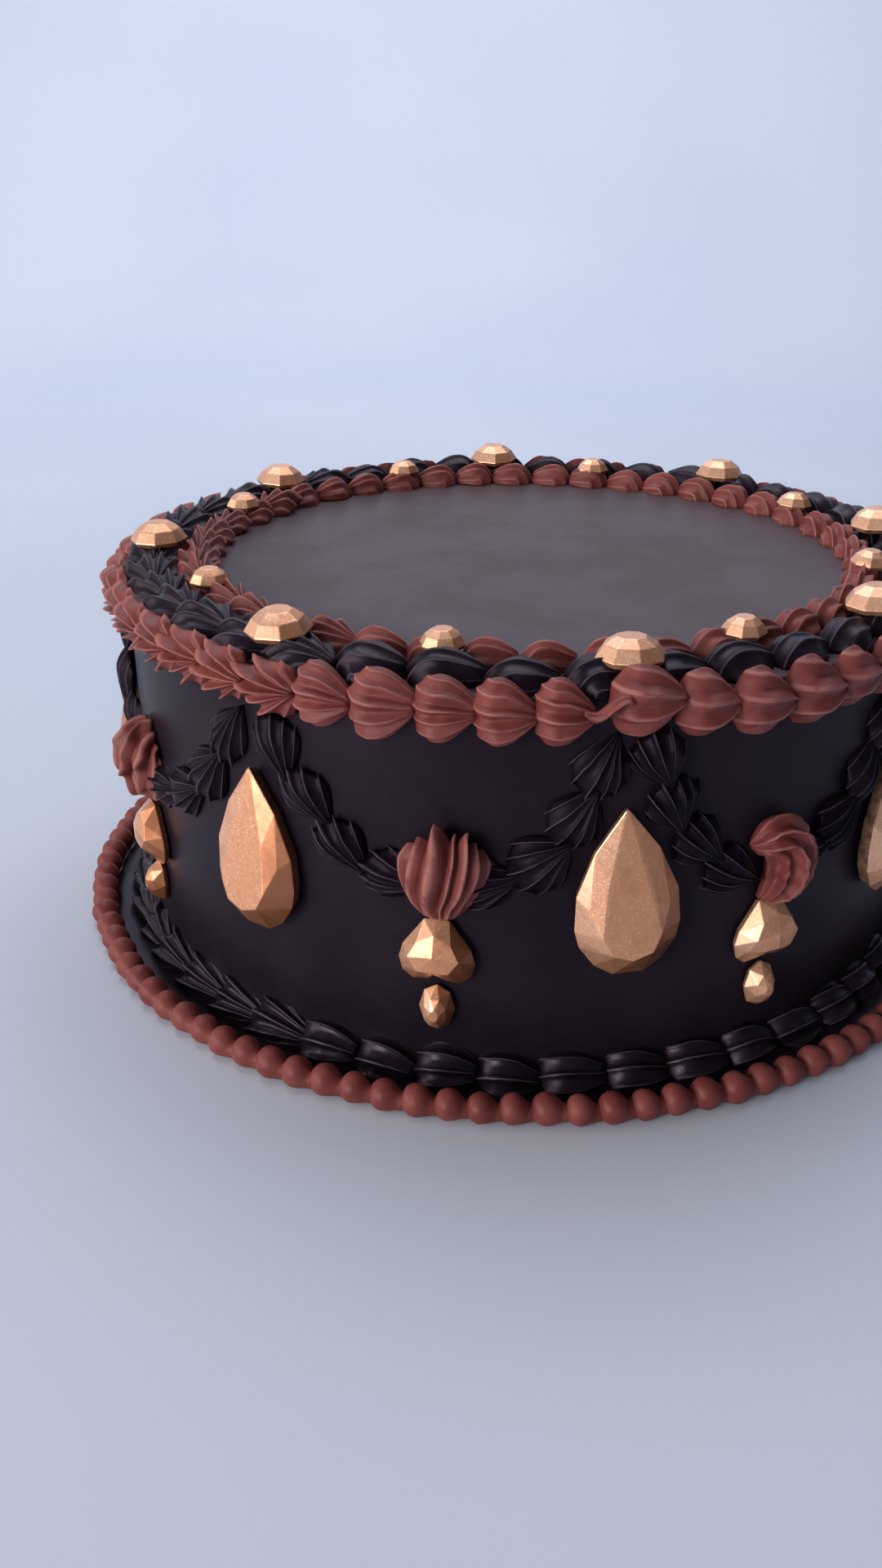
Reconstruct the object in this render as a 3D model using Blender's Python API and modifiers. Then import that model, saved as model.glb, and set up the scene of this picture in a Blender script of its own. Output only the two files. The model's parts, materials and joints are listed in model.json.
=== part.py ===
"""Round chocolate cake with piped shell borders, a garland of swags and faceted gold gems.

Metres, +Z up, origin at the centre of the cake's underside. Angles run from the front (-Y)
towards the right (+X). The parts are lofts along piped strands, convex cut gems and one cylinder.
"""

import math

import bmesh
import bpy
from mathutils import Matrix, Vector

MM = 0.001

# The iced cake.
CAKE_RADIUS = 103.5 * MM
CAKE_HEIGHT = 91.5 * MM
CAKE_SIDES = 72
CAKE_EDGE = 1.5 * MM
GAP = 0.3 * MM

# The decoration repeats eight times; each piece was set by hand, a few degrees off its place.
SECTORS = 8
SECTOR_DEG = 360 / SECTORS
PEAK_DRIFT_DEG = (3, 1, 1, -2, -2, -2, -2.5, 2.8)
VALLEY_DRIFT_DEG = (0.2, 1, -2, 0, -2, -4, -2.2, 4.4)
TOP_GEM_DRIFT_DEG = (4, 1, 1, -2, -2, -2, -2.5, 3.5)
SMALL_GEM_DRIFT_DEG = (1, 1, -3, 0, -4.5, -7, -0.5, 2.5)

# One piped shell: share of its length, and share of its full size there. The tail is last.
SHELL_STATIONS = ((0.0, 0.46), (0.16, 1.0), (0.56, 0.92))
PEARL_STATIONS = ((0.0, 0.58), (0.5, 1.0))
SHELL_GROOVE = 0.14

# Borders: how many shells, where the first begins, how far their sizes and lengths vary, and
# how much longer the first shells and shorter the last ones are, as shares of the mean.
INNER_BORDER = {"count": 44, "start_deg": -1.0, "size": 0.1, "length": 0.05, "ends": (0.0, 0.0)}
DARK_BORDER = {"count": 39, "start_deg": -22.9, "size": 0.1, "length": 0.06, "ends": (0.0, 0.0)}
OUTER_BORDER = {"count": 50, "start_deg": 0.0, "size": 0.1, "length": 0.05, "ends": (0.22, 0.26)}
BASE_BORDER = {"count": 50, "start_deg": 2.2, "size": 0.08, "length": 0.05, "ends": (0.0, 0.0)}
PEARL_BORDER = {"count": 100, "start_deg": 0.0, "size": 0.05, "length": 0.03, "ends": (0.0, 0.0)}
FIRST_FADE, LAST_FADE = 8.0, 1.5

INNER_RADIUS, INNER_HALF_WIDTH, INNER_TALL = 85.7 * MM, 4.9 * MM, 6.8 * MM
DARK_RADIUS, DARK_HALF_WIDTH, DARK_TALL = 96.9 * MM, 6.0 * MM, 7.8 * MM
OUTER_CENTRE_Z, OUTER_HALF_WIDTH, OUTER_DEEP = 88.2 * MM, 7.4 * MM, 8.0 * MM
JOINT_DEG, JOINT_SPREAD_DEG, JOINT_RISE = 4.0, 7.0, 3.2 * MM
BASE_WIDE, BASE_TALL, BASE_BULGE = 10.0 * MM, 8.8 * MM, 1.12
PEARL_RADIUS, PEARL_SIZE, PEARL_CENTRE_Z = 117.9 * MM, 3.6 * MM, 2.9 * MM

# The garland: one swag from each peak to the next, with its lowest point at the valley.
SWAG_LOW_Z = 47.6 * MM
SWAG_UNDER_BORDER = 1.3 * MM
SWAG_POWER = 2.8
SWAG_PEAK_OFFSET = 3.6 * MM
SWAG_HALF_WIDTH, SWAG_DEEP = 5.2 * MM, 5.8 * MM
SWAG_SHELLS_A_SIDE = 4
SWAG_NECK_HALF_LENGTH = 9.4 * MM
SWAG_NECK_HALF_WIDTH, SWAG_NECK_DEEP = 3.0 * MM, 2.0 * MM
SWAG_TAB_SHARE, SWAG_TAB_LIFT, SWAG_TAB_DROP = 0.4, 0.5 * MM, 2.5 * MM
SWAG_SAMPLES = 400
SWAG_UNEVEN = 0.1

# The rosette at each valley is one upright shell whose tail crosses the garland.
ROSETTE_HALF_WIDTH, ROSETTE_DEEP = 9.0 * MM, 11.2 * MM
ROSETTE_LIFT = 2.7 * MM
ROSETTE_STATIONS = (  # height, share of the full size, whether it lies over the garland
    (65.8 * MM, 0.42, False),
    (62.8 * MM, 0.86, False),
    (57.5 * MM, 1.0, False),
    (52.2 * MM, 0.86, False),
    (51.0 * MM, 0.78, True),
    (46.8 * MM, 0.42, True),
    (42.8 * MM, 0.13, True),
)

# Gems on top: each sits in a seat that is cut in the borders.
TOP_GEM = {"ring": 95.9 * MM, "radius": 7.5 * MM, "tall": 5.5 * MM, "base_z": 96.0 * MM}
SMALL_GEM = {"ring": 86.9 * MM, "radius": 5.0 * MM, "tall": 4.1 * MM, "base_z": 95.4 * MM}
SEAT_CLEAR = 0.4 * MM
SEAT_TALL = 14.0 * MM
SEAT_SIDES = 8
SEATED_BORDERS = ("inner_top_border", "dark_top_border")
GEM_TILT_DEG = 4.0
ROUND_GEM_SIDES = 8

# Stones are cut in tiers: share of the outline, share of the depth, turned by half a facet.
ROUND_TIERS = ((0.9, 0.0, False), (1.0, 0.22, False), (0.76, 0.7, False), (0.42, 1.0, False))
OVAL_TIERS = ((0.9, 0.0, False), (1.0, 0.2, False), (0.64, 0.74, True), (0.25, 1.0, False))
OVAL_CENTRE_Z, OVAL_HALF_WIDTH, OVAL_HALF_TALL, OVAL_DEEP = 18.5 * MM, 4.1 * MM, 5.9 * MM, 5.0 * MM

# The teardrop and the heart: half outlines and crowns in mm, from the tip or the centre.
TEAR_TIP_Z = 68.6 * MM
TEAR_OUTLINE = ((0.0, 0.0), (6.9, 9.6), (11.0, 19.5), (11.5, 27.5), (10.6, 31.5), (7.4, 36.4),
                (3.3, 39.2))
TEAR_CROWN = ((4.8, 17.0, 5.4), (6.3, 27.5, 7.3), (4.2, 31.6, 8.0), (0.0, 33.0, 8.2),
              (8.6, 21.8, 4.9), (8.2, 30.6, 5.2), (3.4, 36.2, 4.9))
TEAR_RIM, TEAR_SLOPE = 2.6 * MM, 0.01
TEAR_LEAN_DEG = (3, -2, 1, 2, -1, 2, -2, 1)
HEART_CENTRE_Z = 33.1 * MM
HEART_OUTLINE = ((0.0, 8.0), (2.8, 7.7), (4.8, 4.9), (7.6, 1.0), (8.5, -2.4), (7.7, -5.7),
                 (5.2, -7.6), (2.0, -7.3), (0.0, -6.2))
HEART_CROWN = ((0.0, 5.6, 4.6), (3.8, 3.6, 4.8), (5.6, 0.2, 5.5), (3.4, -2.9, 5.9),
               (0.0, -2.9, 6.1), (0.0, 1.0, 6.3), (6.5, -3.4, 3.6), (4.0, -5.4, 3.6),
               (1.2, -5.0, 3.8))
RIM, RIM_INSET = 1.3 * MM, 0.93

COLOURS = {
    "dark_icing": ((0.018, 0.013, 0.019), 0.42, 0.0),
    "dark_piping": ((0.014, 0.011, 0.015), 0.34, 0.0),
    "milk_piping": ((0.26, 0.095, 0.07), 0.45, 0.0),
    "gold_gem": ((0.56, 0.31, 0.18), 0.38, 0.85),
}


def clear_scene():
    """Removes what the file opened with."""
    for obj in list(bpy.data.objects):
        bpy.data.objects.remove(obj, do_unlink=True)


def make_materials():
    """One Principled material for each finish, by name."""
    made = {}
    for name, (colour, roughness, metallic) in COLOURS.items():
        material = bpy.data.materials.new(name)
        material.use_nodes = True
        shader = material.node_tree.nodes["Principled BSDF"]
        shader.inputs["Base Color"].default_value = (*colour, 1.0)
        shader.inputs["Roughness"].default_value = roughness
        shader.inputs["Metallic"].default_value = metallic
        made[name] = material
    return made


def add_object(name, mesh, material, collection):
    """A named object in the collection, from a bmesh that is freed or from finished mesh data."""
    if isinstance(mesh, bmesh.types.BMesh):
        data = bpy.data.meshes.new(name)
        mesh.to_mesh(data)
        mesh.free()
    else:
        data = mesh
    obj = bpy.data.objects.new(name, data)
    collection.objects.link(obj)
    if not data.materials:
        data.materials.append(material)
    return obj


def uneven(index, salt):
    """A fixed value from 0 to 1 that varies from one piece to the next."""
    value = math.sin(12.9898 * index + 78.233 * salt) * 43758.5453
    return value - math.floor(value)


def ring_point(angle, radius, z):
    """A point at that angle from the front, in radians, round the cake's axis."""
    return Vector((radius * math.sin(angle), -radius * math.cos(angle), z))


def peak_angle(index):
    """Where swag `index` begins, and a teardrop hangs under it."""
    turn, place = divmod(index, SECTORS)
    return math.radians(360 * turn + SECTOR_DEG * place + PEAK_DRIFT_DEG[place])


def valley_angle(index):
    """The lowest point of swag `index`, where its rosette sits."""
    return math.radians(SECTOR_DEG * (index + 0.5) + VALLEY_DRIFT_DEG[index])


def top_gem_angle(index):
    """The place of a large gem on the dark border."""
    return math.radians(SECTOR_DEG * index + TOP_GEM_DRIFT_DEG[index])


def small_gem_angle(index):
    """The place of a small gem on the inner border."""
    return math.radians(SECTOR_DEG * (index + 0.5) + SMALL_GEM_DRIFT_DEG[index])


def shell_spans(border):
    """(start, length) in radians of each shell of a border, all round and closed."""
    count = border["count"]
    early, late = border["ends"]
    shares = []
    for index in range(count):
        share = 1 + border["length"] * (2 * uneven(index, count) - 1)
        share += early * math.exp(-index / FIRST_FADE)
        share -= late * math.exp(-(count - 1 - index) / LAST_FADE)
        shares.append(share)
    spans, start = [], math.radians(border["start_deg"])
    for share in shares:
        length = math.tau * share / sum(shares)
        spans.append((start, length))
        start += length
    return spans


def outer_centre(angle):
    """The height of the outer border's middle: it climbs where its two ends meet."""
    away = math.degrees(angle) - JOINT_DEG
    away = (away + 180) % 360 - 180
    return OUTER_CENTRE_Z + JOINT_RISE * math.exp(-((away / JOINT_SPREAD_DEG) ** 2))


def arch(half_width, tall, points):
    """A strand's section over a flat surface: crests with grooves between, as (across, up)."""
    section = []
    for index in range(points):
        angle = math.pi * index / (points - 1)
        reach = 1 - SHELL_GROOVE * (index % 2)
        across = half_width * reach * math.cos(angle)
        section.append((across, tall * reach * math.sin(angle)))
    return section


def corner_arch(wide, tall, points):
    """A strand's section in the corner between wall and board, from the corner round."""
    section = [(0.0, 0.0)]
    for index in range(points):
        angle = math.pi / 2 * index / (points - 1)
        reach = 1 + (BASE_BULGE - 1) * math.sin(2 * angle)
        section.append((wide * reach * math.cos(angle), tall * reach * math.sin(angle)))
    return section


def round_section(size, centre, points):
    """A pearl's section: a circle with a flat foot, as (across, up)."""
    foot = math.asin(centre / size)
    section = []
    for index in range(points):
        angle = -foot + (math.pi + 2 * foot) * index / (points - 1)
        section.append((size * math.cos(angle), centre + size * math.sin(angle)))
    return section


def loft(sections, closed_loop):
    """A bmesh through the sections in order: a ring, or a strand that is capped at both ends."""
    mesh = bmesh.new()
    rows = [[mesh.verts.new(point) for point in section] for section in sections]
    pairs = list(zip(rows, rows[1:]))
    if closed_loop:
        pairs.append((rows[-1], rows[0]))
    count = len(rows[0])
    for row, following in pairs:
        for index in range(count):
            after = (index + 1) % count
            mesh.faces.new((row[index], row[after], following[after], following[index]))
    if not closed_loop:
        mesh.faces.new(rows[0])
        mesh.faces.new(rows[-1])
    bmesh.ops.recalc_face_normals(mesh, faces=mesh.faces)
    return mesh


def hull(points):
    """A bmesh of the convex hull of the points, which gives a cut gem its facets."""
    mesh = bmesh.new()
    for point in points:
        mesh.verts.new(point)
    result = bmesh.ops.convex_hull(mesh, input=mesh.verts)
    unused = [item for item in result["geom_unused"] if isinstance(item, bmesh.types.BMVert)]
    inside = [item for item in result["geom_interior"] if isinstance(item, bmesh.types.BMVert)]
    bmesh.ops.delete(mesh, geom=list(set(unused + inside)), context="VERTS")
    bmesh.ops.recalc_face_normals(mesh, faces=mesh.faces)
    return mesh


def border_sections(border, stations, section, place, salt):
    """The sections of a border all round. `place` puts (angle, across, up) in the world."""
    sections = []
    for index, (start, length) in enumerate(shell_spans(border)):
        size = 1 - border["size"] * uneven(index, salt)
        for share, scale in stations:
            angle = start + length * share
            grown = scale * size
            sections.append([place(angle, across * grown, up * grown) for across, up in section])
    return sections


def on_top(radius):
    """Puts a border's points on the cake's flat top, round a circle."""

    def place(angle, across, up):
        return ring_point(angle, radius + across, CAKE_HEIGHT + GAP + up)

    return place


def on_wall(angle, across, up):
    """Puts the outer border's points on the cake's side, round its top."""
    return ring_point(angle, CAKE_RADIUS + GAP + up, outer_centre(angle) + across)


def on_board(radius):
    """Puts a border's points on the surface that the cake stands on."""

    def place(angle, across, up):
        return ring_point(angle, radius + across, up)

    return place


def add_cake(material, collection):
    """The iced cake: a plain cylinder with a softened top edge."""
    mesh = bmesh.new()
    bmesh.ops.create_cone(
        mesh,
        cap_ends=True,
        segments=CAKE_SIDES,
        radius1=CAKE_RADIUS,
        radius2=CAKE_RADIUS,
        depth=CAKE_HEIGHT,
        matrix=Matrix.Translation((0, 0, CAKE_HEIGHT / 2)),
    )
    top = [e for e in mesh.edges if all(v.co.z > CAKE_HEIGHT - MM for v in e.verts)]
    bmesh.ops.bevel(
        mesh, geom=top, offset=CAKE_EDGE, segments=1, affect="EDGES", profile=0.5
    )
    return add_object("cake", mesh, material, collection)


def add_seat_cutters(cutters):
    """One cutter for each gem on top, a little wider and lower than the gem."""
    for index in range(SECTORS):
        places = (
            (TOP_GEM, top_gem_angle(index), index),
            (SMALL_GEM, small_gem_angle(index), index + SECTORS),
        )
        for gem, angle, number in places:
            mesh = bmesh.new()
            bmesh.ops.create_cone(
                mesh,
                cap_ends=True,
                segments=SEAT_SIDES,
                radius1=gem["radius"] + SEAT_CLEAR,
                radius2=gem["radius"] + SEAT_CLEAR,
                depth=SEAT_TALL,
                matrix=Matrix.Translation((0, 0, SEAT_TALL / 2 - SEAT_CLEAR)),
            )
            data = bpy.data.meshes.new(f"seat_cutter_{number + 1}")
            mesh.to_mesh(data)
            mesh.free()
            cutter = bpy.data.objects.new(data.name, data)
            cutters.objects.link(cutter)
            cutter.matrix_world = top_frame(angle, gem, number)
            cutter.hide_render = True
            cutter.display_type = "WIRE"


def add_borders(materials, collection, cutters):
    """The five borders that run right round the cake."""
    rows = (
        ("inner_top_border", "milk_piping", INNER_BORDER, SHELL_STATIONS,
         arch(INNER_HALF_WIDTH, INNER_TALL, 5), on_top(INNER_RADIUS)),
        ("dark_top_border", "dark_piping", DARK_BORDER, SHELL_STATIONS,
         arch(DARK_HALF_WIDTH, DARK_TALL, 5), on_top(DARK_RADIUS)),
        ("outer_top_border", "milk_piping", OUTER_BORDER, SHELL_STATIONS,
         arch(OUTER_HALF_WIDTH, OUTER_DEEP, 7), on_wall),
        ("base_shell_border", "dark_piping", BASE_BORDER, SHELL_STATIONS,
         corner_arch(BASE_WIDE, BASE_TALL, 3), on_board(CAKE_RADIUS + GAP)),
        ("pearl_border", "milk_piping", PEARL_BORDER, PEARL_STATIONS,
         round_section(PEARL_SIZE, PEARL_CENTRE_Z, 5), on_board(PEARL_RADIUS)),
    )
    for salt, (name, finish, border, stations, section, place) in enumerate(rows):
        sections = border_sections(border, stations, section, place, salt)
        strand = add_object(name, loft(sections, True), materials[finish], collection)
        if name in SEATED_BORDERS:
            seats = strand.modifiers.new("gem_seats", "BOOLEAN")
            seats.operation = "DIFFERENCE"
            seats.operand_type = "COLLECTION"
            seats.collection = cutters
            seats.solver = "EXACT"


def swag_top(peak):
    """The height of a swag's end, close under the outer border."""
    return outer_centre(peak) - OUTER_HALF_WIDTH - SWAG_UNDER_BORDER


def swag_side(length, peak):
    """One side of a swag as (along, height) points from the valley up to the peak."""
    side = []
    for index in range(SWAG_SAMPLES + 1):
        share = index / SWAG_SAMPLES
        rise = (swag_top(peak) - SWAG_LOW_Z) * share**SWAG_POWER
        side.append((length * share, SWAG_LOW_Z + rise))
    return side


def walk(side, distance):
    """The (along, height) and direction at that distance up one side of a swag."""
    for (a, low), (b, high) in zip(side, side[1:]):
        step = math.hypot(b - a, high - low)
        if distance <= step:
            share = distance / step
            point = (a + (b - a) * share, low + (high - low) * share)
            return point, ((b - a) / step, (high - low) / step)
        distance -= step
    return side[-1], ((b - a) / step, (high - low) / step)


def side_length(side):
    """The length of one side of a swag along its curve."""
    return sum(math.dist(a, b) for a, b in zip(side, side[1:]))


def swag_sections(index):
    """The sections of one swag from its left peak, past the valley, to its right peak."""
    valley, peaks = valley_angle(index), (peak_angle(index), peak_angle(index + 1))
    shell = arch(SWAG_HALF_WIDTH, SWAG_DEEP, 5)
    neck = arch(SWAG_NECK_HALF_WIDTH, SWAG_NECK_DEEP, 5)
    sections = []

    def put(side, way, distance, section, scale):
        (along, z), (run, rise) = walk(side, distance)
        placed = []
        for across, up in section:
            angle = valley + way * (along - rise * across * scale) / CAKE_RADIUS
            height = z + run * across * scale
            placed.append(ring_point(angle, CAKE_RADIUS + GAP + up * scale, height))
        sections.append(placed)

    for way, peak in zip((-1, 1), peaks):
        reach = abs(peak - valley) * CAKE_RADIUS - SWAG_PEAK_OFFSET
        side = swag_side(reach, peak)
        total = side_length(side)
        pitch = (total - SWAG_NECK_HALF_LENGTH) / SWAG_SHELLS_A_SIDE
        if way > 0:
            put(side, way, SWAG_NECK_HALF_LENGTH * 0.8, neck, 1.0)
        for number in range(SWAG_SHELLS_A_SIDE):
            size = 1 - SWAG_UNEVEN * uneven(number + 10 * index, way + 3)
            for share, scale in SHELL_STATIONS:
                if way < 0:
                    distance = total - pitch * (number + share)
                else:
                    distance = SWAG_NECK_HALF_LENGTH + pitch * (number + share)
                put(side, way, distance, shell, scale * size)
        if way < 0:
            put(side, way, SWAG_NECK_HALF_LENGTH * 0.8, neck, 1.0)
        else:
            put(side, way, total, shell, SHELL_STATIONS[0][1])
    # A tab at the right end reaches past the peak, into the next swag.
    tab = []
    for across, up in arch(SWAG_HALF_WIDTH * SWAG_TAB_SHARE, SWAG_DEEP * SWAG_TAB_SHARE, 5):
        angle = peaks[1] + SWAG_PEAK_OFFSET / CAKE_RADIUS
        height = swag_top(peaks[1]) - SWAG_TAB_DROP + across
        tab.append(ring_point(angle, CAKE_RADIUS + GAP + SWAG_TAB_LIFT + up, height))
    sections.append(tab)
    return sections


def add_garland(material, collection):
    """Eight swags, joined where they meet under the outer border."""
    joined = bpy.data.collections.new("other_swags")
    bpy.context.scene.collection.children.link(joined)
    garland = None
    for index in range(SECTORS):
        target = joined if garland else collection
        swag = add_object(f"swag_{index + 1}", loft(swag_sections(index), False), material, target)
        garland = garland or swag
    union = garland.modifiers.new("join_swags", "BOOLEAN")
    union.operation = "UNION"
    union.operand_type = "COLLECTION"
    union.collection = joined
    union.solver = "EXACT"
    graph = bpy.context.evaluated_depsgraph_get()
    solid = bpy.data.meshes.new_from_object(garland.evaluated_get(graph))
    for swag in list(joined.objects) + [garland]:
        bpy.data.objects.remove(swag, do_unlink=True)
    bpy.data.collections.remove(joined)
    solid.name = "garland"
    return add_object("garland", solid, material, collection)


def wall_frame(angle, z, out=GAP):
    """The matrix of a flat-backed piece on the cake's side: x right, y up, z outwards."""
    outward = ring_point(angle, 1, 0)
    right = Vector((math.cos(angle), math.sin(angle), 0))
    matrix = Matrix((right, Vector((0, 0, 1)), outward)).transposed().to_4x4()
    matrix.translation = ring_point(angle, CAKE_RADIUS + out, z)
    return matrix


def top_frame(angle, gem, index):
    """The matrix of a gem on top, a little tilted as it was pressed in."""
    place = Matrix.Translation(ring_point(angle, gem["ring"], gem["base_z"]))
    tilt = math.radians(GEM_TILT_DEG) * (2 * uneven(index, 5) - 1)
    return place @ Matrix.Rotation(angle, 4, "Z") @ Matrix.Rotation(tilt, 4, "X")


def rosette_mesh():
    """One upright shell, in the frame of the wall at height zero, with its tail down."""
    sections = []
    for z, scale, lies_over in ROSETTE_STATIONS:
        lift = ROSETTE_LIFT if lies_over else 0.0
        deep = ROSETTE_DEEP * scale - lift * scale
        sections.append(
            [(across, z, lift + up) for across, up in arch(ROSETTE_HALF_WIDTH * scale, deep, 7)]
        )
    return loft(sections, False)


def cut_gem_mesh(half_width, half_long, deep, tiers):
    """A flat-backed stone: a rim, a ring of large facets, a smaller ring and a table."""
    points = []
    for share, height, turned in tiers:
        for index in range(ROUND_GEM_SIDES):
            angle = math.tau * (index + 0.5 * turned) / ROUND_GEM_SIDES
            across = half_width * share * math.cos(angle)
            points.append((across, half_long * share * math.sin(angle), height * deep))
    return hull(points)


def round_gem_mesh(gem):
    """A round stone for the top of the cake."""
    return cut_gem_mesh(gem["radius"], gem["radius"], gem["tall"], ROUND_TIERS)


def tear_mesh():
    """A teardrop stone, tip up at height zero: a long table slopes out from the tip."""
    middle = TEAR_OUTLINE[-1][1] / 2
    points = []
    for way in (-1, 1):
        for across, down in TEAR_OUTLINE:
            inset = (down - middle) * RIM_INSET + middle
            points.append((way * across * MM * RIM_INSET, -inset * MM, 0.0))
            points.append((way * across * MM, -down * MM, TEAR_RIM + TEAR_SLOPE * down * MM))
        for across, down, out in TEAR_CROWN:
            points.append((way * across * MM, -down * MM, out * MM))
    return hull(points)


def heart_mesh():
    """A heart stone with its two lobes down: half is cut, and a mirror makes the other."""
    points = []
    for across, up in HEART_OUTLINE:
        points.append((across * MM * RIM_INSET, up * MM * RIM_INSET, 0.0))
        points.append((across * MM, up * MM, RIM))
    for across, up, out in HEART_CROWN:
        points.append((across * MM, up * MM, out * MM))
    half = hull(points)
    middle = [f for f in half.faces if all(abs(v.co.x) < 0.01 * MM for v in f.verts)]
    bmesh.ops.delete(half, geom=middle, context="FACES")
    return half


def add_gems(material, collection):
    """Forty gems: eight of each kind, each its own object on a shared mesh."""
    kinds = {
        "top_gem": round_gem_mesh(TOP_GEM),
        "small_top_gem": round_gem_mesh(SMALL_GEM),
        "teardrop_gem": tear_mesh(),
        "heart_gem": heart_mesh(),
        "oval_gem": cut_gem_mesh(OVAL_HALF_WIDTH, OVAL_HALF_TALL, OVAL_DEEP, OVAL_TIERS),
    }
    for kind, mesh in kinds.items():
        data = bpy.data.meshes.new(kind)
        mesh.to_mesh(data)
        mesh.free()
        for index in range(SECTORS):
            places = {
                "top_gem": top_frame(top_gem_angle(index), TOP_GEM, index),
                "small_top_gem": top_frame(small_gem_angle(index), SMALL_GEM, index + SECTORS),
                "teardrop_gem": wall_frame(peak_angle(index), TEAR_TIP_Z)
                @ Matrix.Rotation(math.radians(TEAR_LEAN_DEG[index]), 4, "Z"),
                "heart_gem": wall_frame(valley_angle(index), HEART_CENTRE_Z),
                "oval_gem": wall_frame(valley_angle(index), OVAL_CENTRE_Z),
            }
            gem = add_object(f"{kind}_{index + 1}", data, material, collection)
            gem.matrix_world = places[kind]
            if kind == "heart_gem":
                mirror = gem.modifiers.new("other_half", "MIRROR")
                mirror.use_clip = True
                mirror.merge_threshold = 0.01 * MM


def add_rosettes(material, collection):
    """Eight rosettes on a shared mesh, one at each valley of the garland."""
    mesh = rosette_mesh()
    data = bpy.data.meshes.new("rosette")
    mesh.to_mesh(data)
    mesh.free()
    for index in range(SECTORS):
        rosette = add_object(f"rosette_{index + 1}", data, material, collection)
        rosette.matrix_world = wall_frame(valley_angle(index), 0.0)


def build():
    """Makes every part of the cake, in one collection."""
    clear_scene()
    materials = make_materials()
    collection = bpy.data.collections.new("chocolate_cake")
    cutters = bpy.data.collections.new("cutters")
    for group in (collection, cutters):
        bpy.context.scene.collection.children.link(group)
    add_cake(materials["dark_icing"], collection)
    add_seat_cutters(cutters)
    add_borders(materials, collection, cutters)
    add_garland(materials["dark_piping"], collection)
    add_rosettes(materials["milk_piping"], collection)
    add_gems(materials["gold_gem"], collection)


build()
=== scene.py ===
"""The looks of a round chocolate cake: satin coat, piped borders, garland and gold gems.

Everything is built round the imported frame, in metres, +Z up. Angles run from the front (-Y)
towards the right (+X), in radians unless a name says degrees.
"""

import json
import logging
import math
from collections.abc import Callable, Iterable, Mapping, Sequence
from dataclasses import dataclass, replace
from enum import Enum
from functools import cached_property

import bmesh
import bpy
import numpy as np
from mathutils import Matrix, Vector

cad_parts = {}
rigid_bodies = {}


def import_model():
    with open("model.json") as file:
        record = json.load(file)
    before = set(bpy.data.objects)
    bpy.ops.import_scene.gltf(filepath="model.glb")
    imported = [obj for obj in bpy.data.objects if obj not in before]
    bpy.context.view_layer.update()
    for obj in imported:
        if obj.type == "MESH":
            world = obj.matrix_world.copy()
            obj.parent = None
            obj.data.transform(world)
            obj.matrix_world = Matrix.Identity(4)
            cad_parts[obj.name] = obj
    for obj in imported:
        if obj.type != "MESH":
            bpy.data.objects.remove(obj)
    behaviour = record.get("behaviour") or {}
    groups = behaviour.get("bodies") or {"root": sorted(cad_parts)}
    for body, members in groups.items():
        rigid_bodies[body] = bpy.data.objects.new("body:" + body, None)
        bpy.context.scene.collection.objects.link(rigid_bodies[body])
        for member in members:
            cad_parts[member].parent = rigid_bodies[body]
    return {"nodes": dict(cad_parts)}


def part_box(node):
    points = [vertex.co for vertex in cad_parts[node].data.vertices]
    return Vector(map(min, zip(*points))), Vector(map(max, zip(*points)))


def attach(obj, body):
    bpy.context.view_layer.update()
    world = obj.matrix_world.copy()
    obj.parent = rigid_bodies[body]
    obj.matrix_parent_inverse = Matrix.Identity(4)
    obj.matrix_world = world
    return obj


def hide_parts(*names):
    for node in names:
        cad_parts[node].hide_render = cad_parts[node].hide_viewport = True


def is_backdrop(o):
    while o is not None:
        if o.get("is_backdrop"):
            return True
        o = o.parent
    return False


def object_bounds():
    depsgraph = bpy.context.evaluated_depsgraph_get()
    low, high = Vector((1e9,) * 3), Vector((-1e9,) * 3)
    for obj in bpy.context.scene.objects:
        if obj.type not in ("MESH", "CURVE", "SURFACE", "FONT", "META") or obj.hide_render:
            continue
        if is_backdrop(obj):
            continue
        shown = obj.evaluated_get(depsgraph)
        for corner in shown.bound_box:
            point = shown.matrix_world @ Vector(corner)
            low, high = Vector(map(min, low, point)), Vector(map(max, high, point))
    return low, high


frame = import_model()
CAD_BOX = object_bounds()

MM = 0.001
BODY = "root"
SECTORS = 8

Colour = tuple[float, float, float]
Points = np.ndarray
Skin = tuple[Points, Points, Points, float]
Edge = tuple[tuple[float, float], ...]
Seat = Callable[[float], tuple[Vector, Vector, float]]
UP = Vector((0, 0, 1))
DOWN = Vector((0, 0, -1))
log = logging.getLogger("cake")


# Small helpers for meshes and node trees.


def uneven(index: int, salt: float) -> float:
    """Gives a fixed value from 0 to 1 that varies from one piece to the next.

    Args:
        index: The piece's number in its row.
        salt: A number that sets one row apart from another.

    Returns:
        The value.
    """
    stride, drift, gain = 12.9898, 78.233, 43758.5453
    value = math.sin(stride * index + drift * salt) * gain
    return value - math.floor(value)


def ring_point(angle: float, radius: float, z: float) -> Vector:
    """Gives the point at that angle from the front, round the cake's axis."""
    return Vector((radius * math.sin(angle), -radius * math.cos(angle), z))


def node_angle(node: str) -> float:
    """Gives the angle round the cake at which a CAD node sits."""
    low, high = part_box(node)
    middle = (low + high) / 2
    return math.atan2(middle.x, -middle.y)


def axes(along: Vector, out: Vector) -> Matrix:
    """Makes a turn whose X axis is `along` and whose Z axis is `out`.

    Args:
        along: The direction that a shell's tail points in.
        out: The direction away from the surface that it sits on.

    Returns:
        A 3x3 rotation.
    """
    side = out.cross(along).normalized()
    return Matrix((along.normalized(), side, out.normalized())).transposed()


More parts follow.
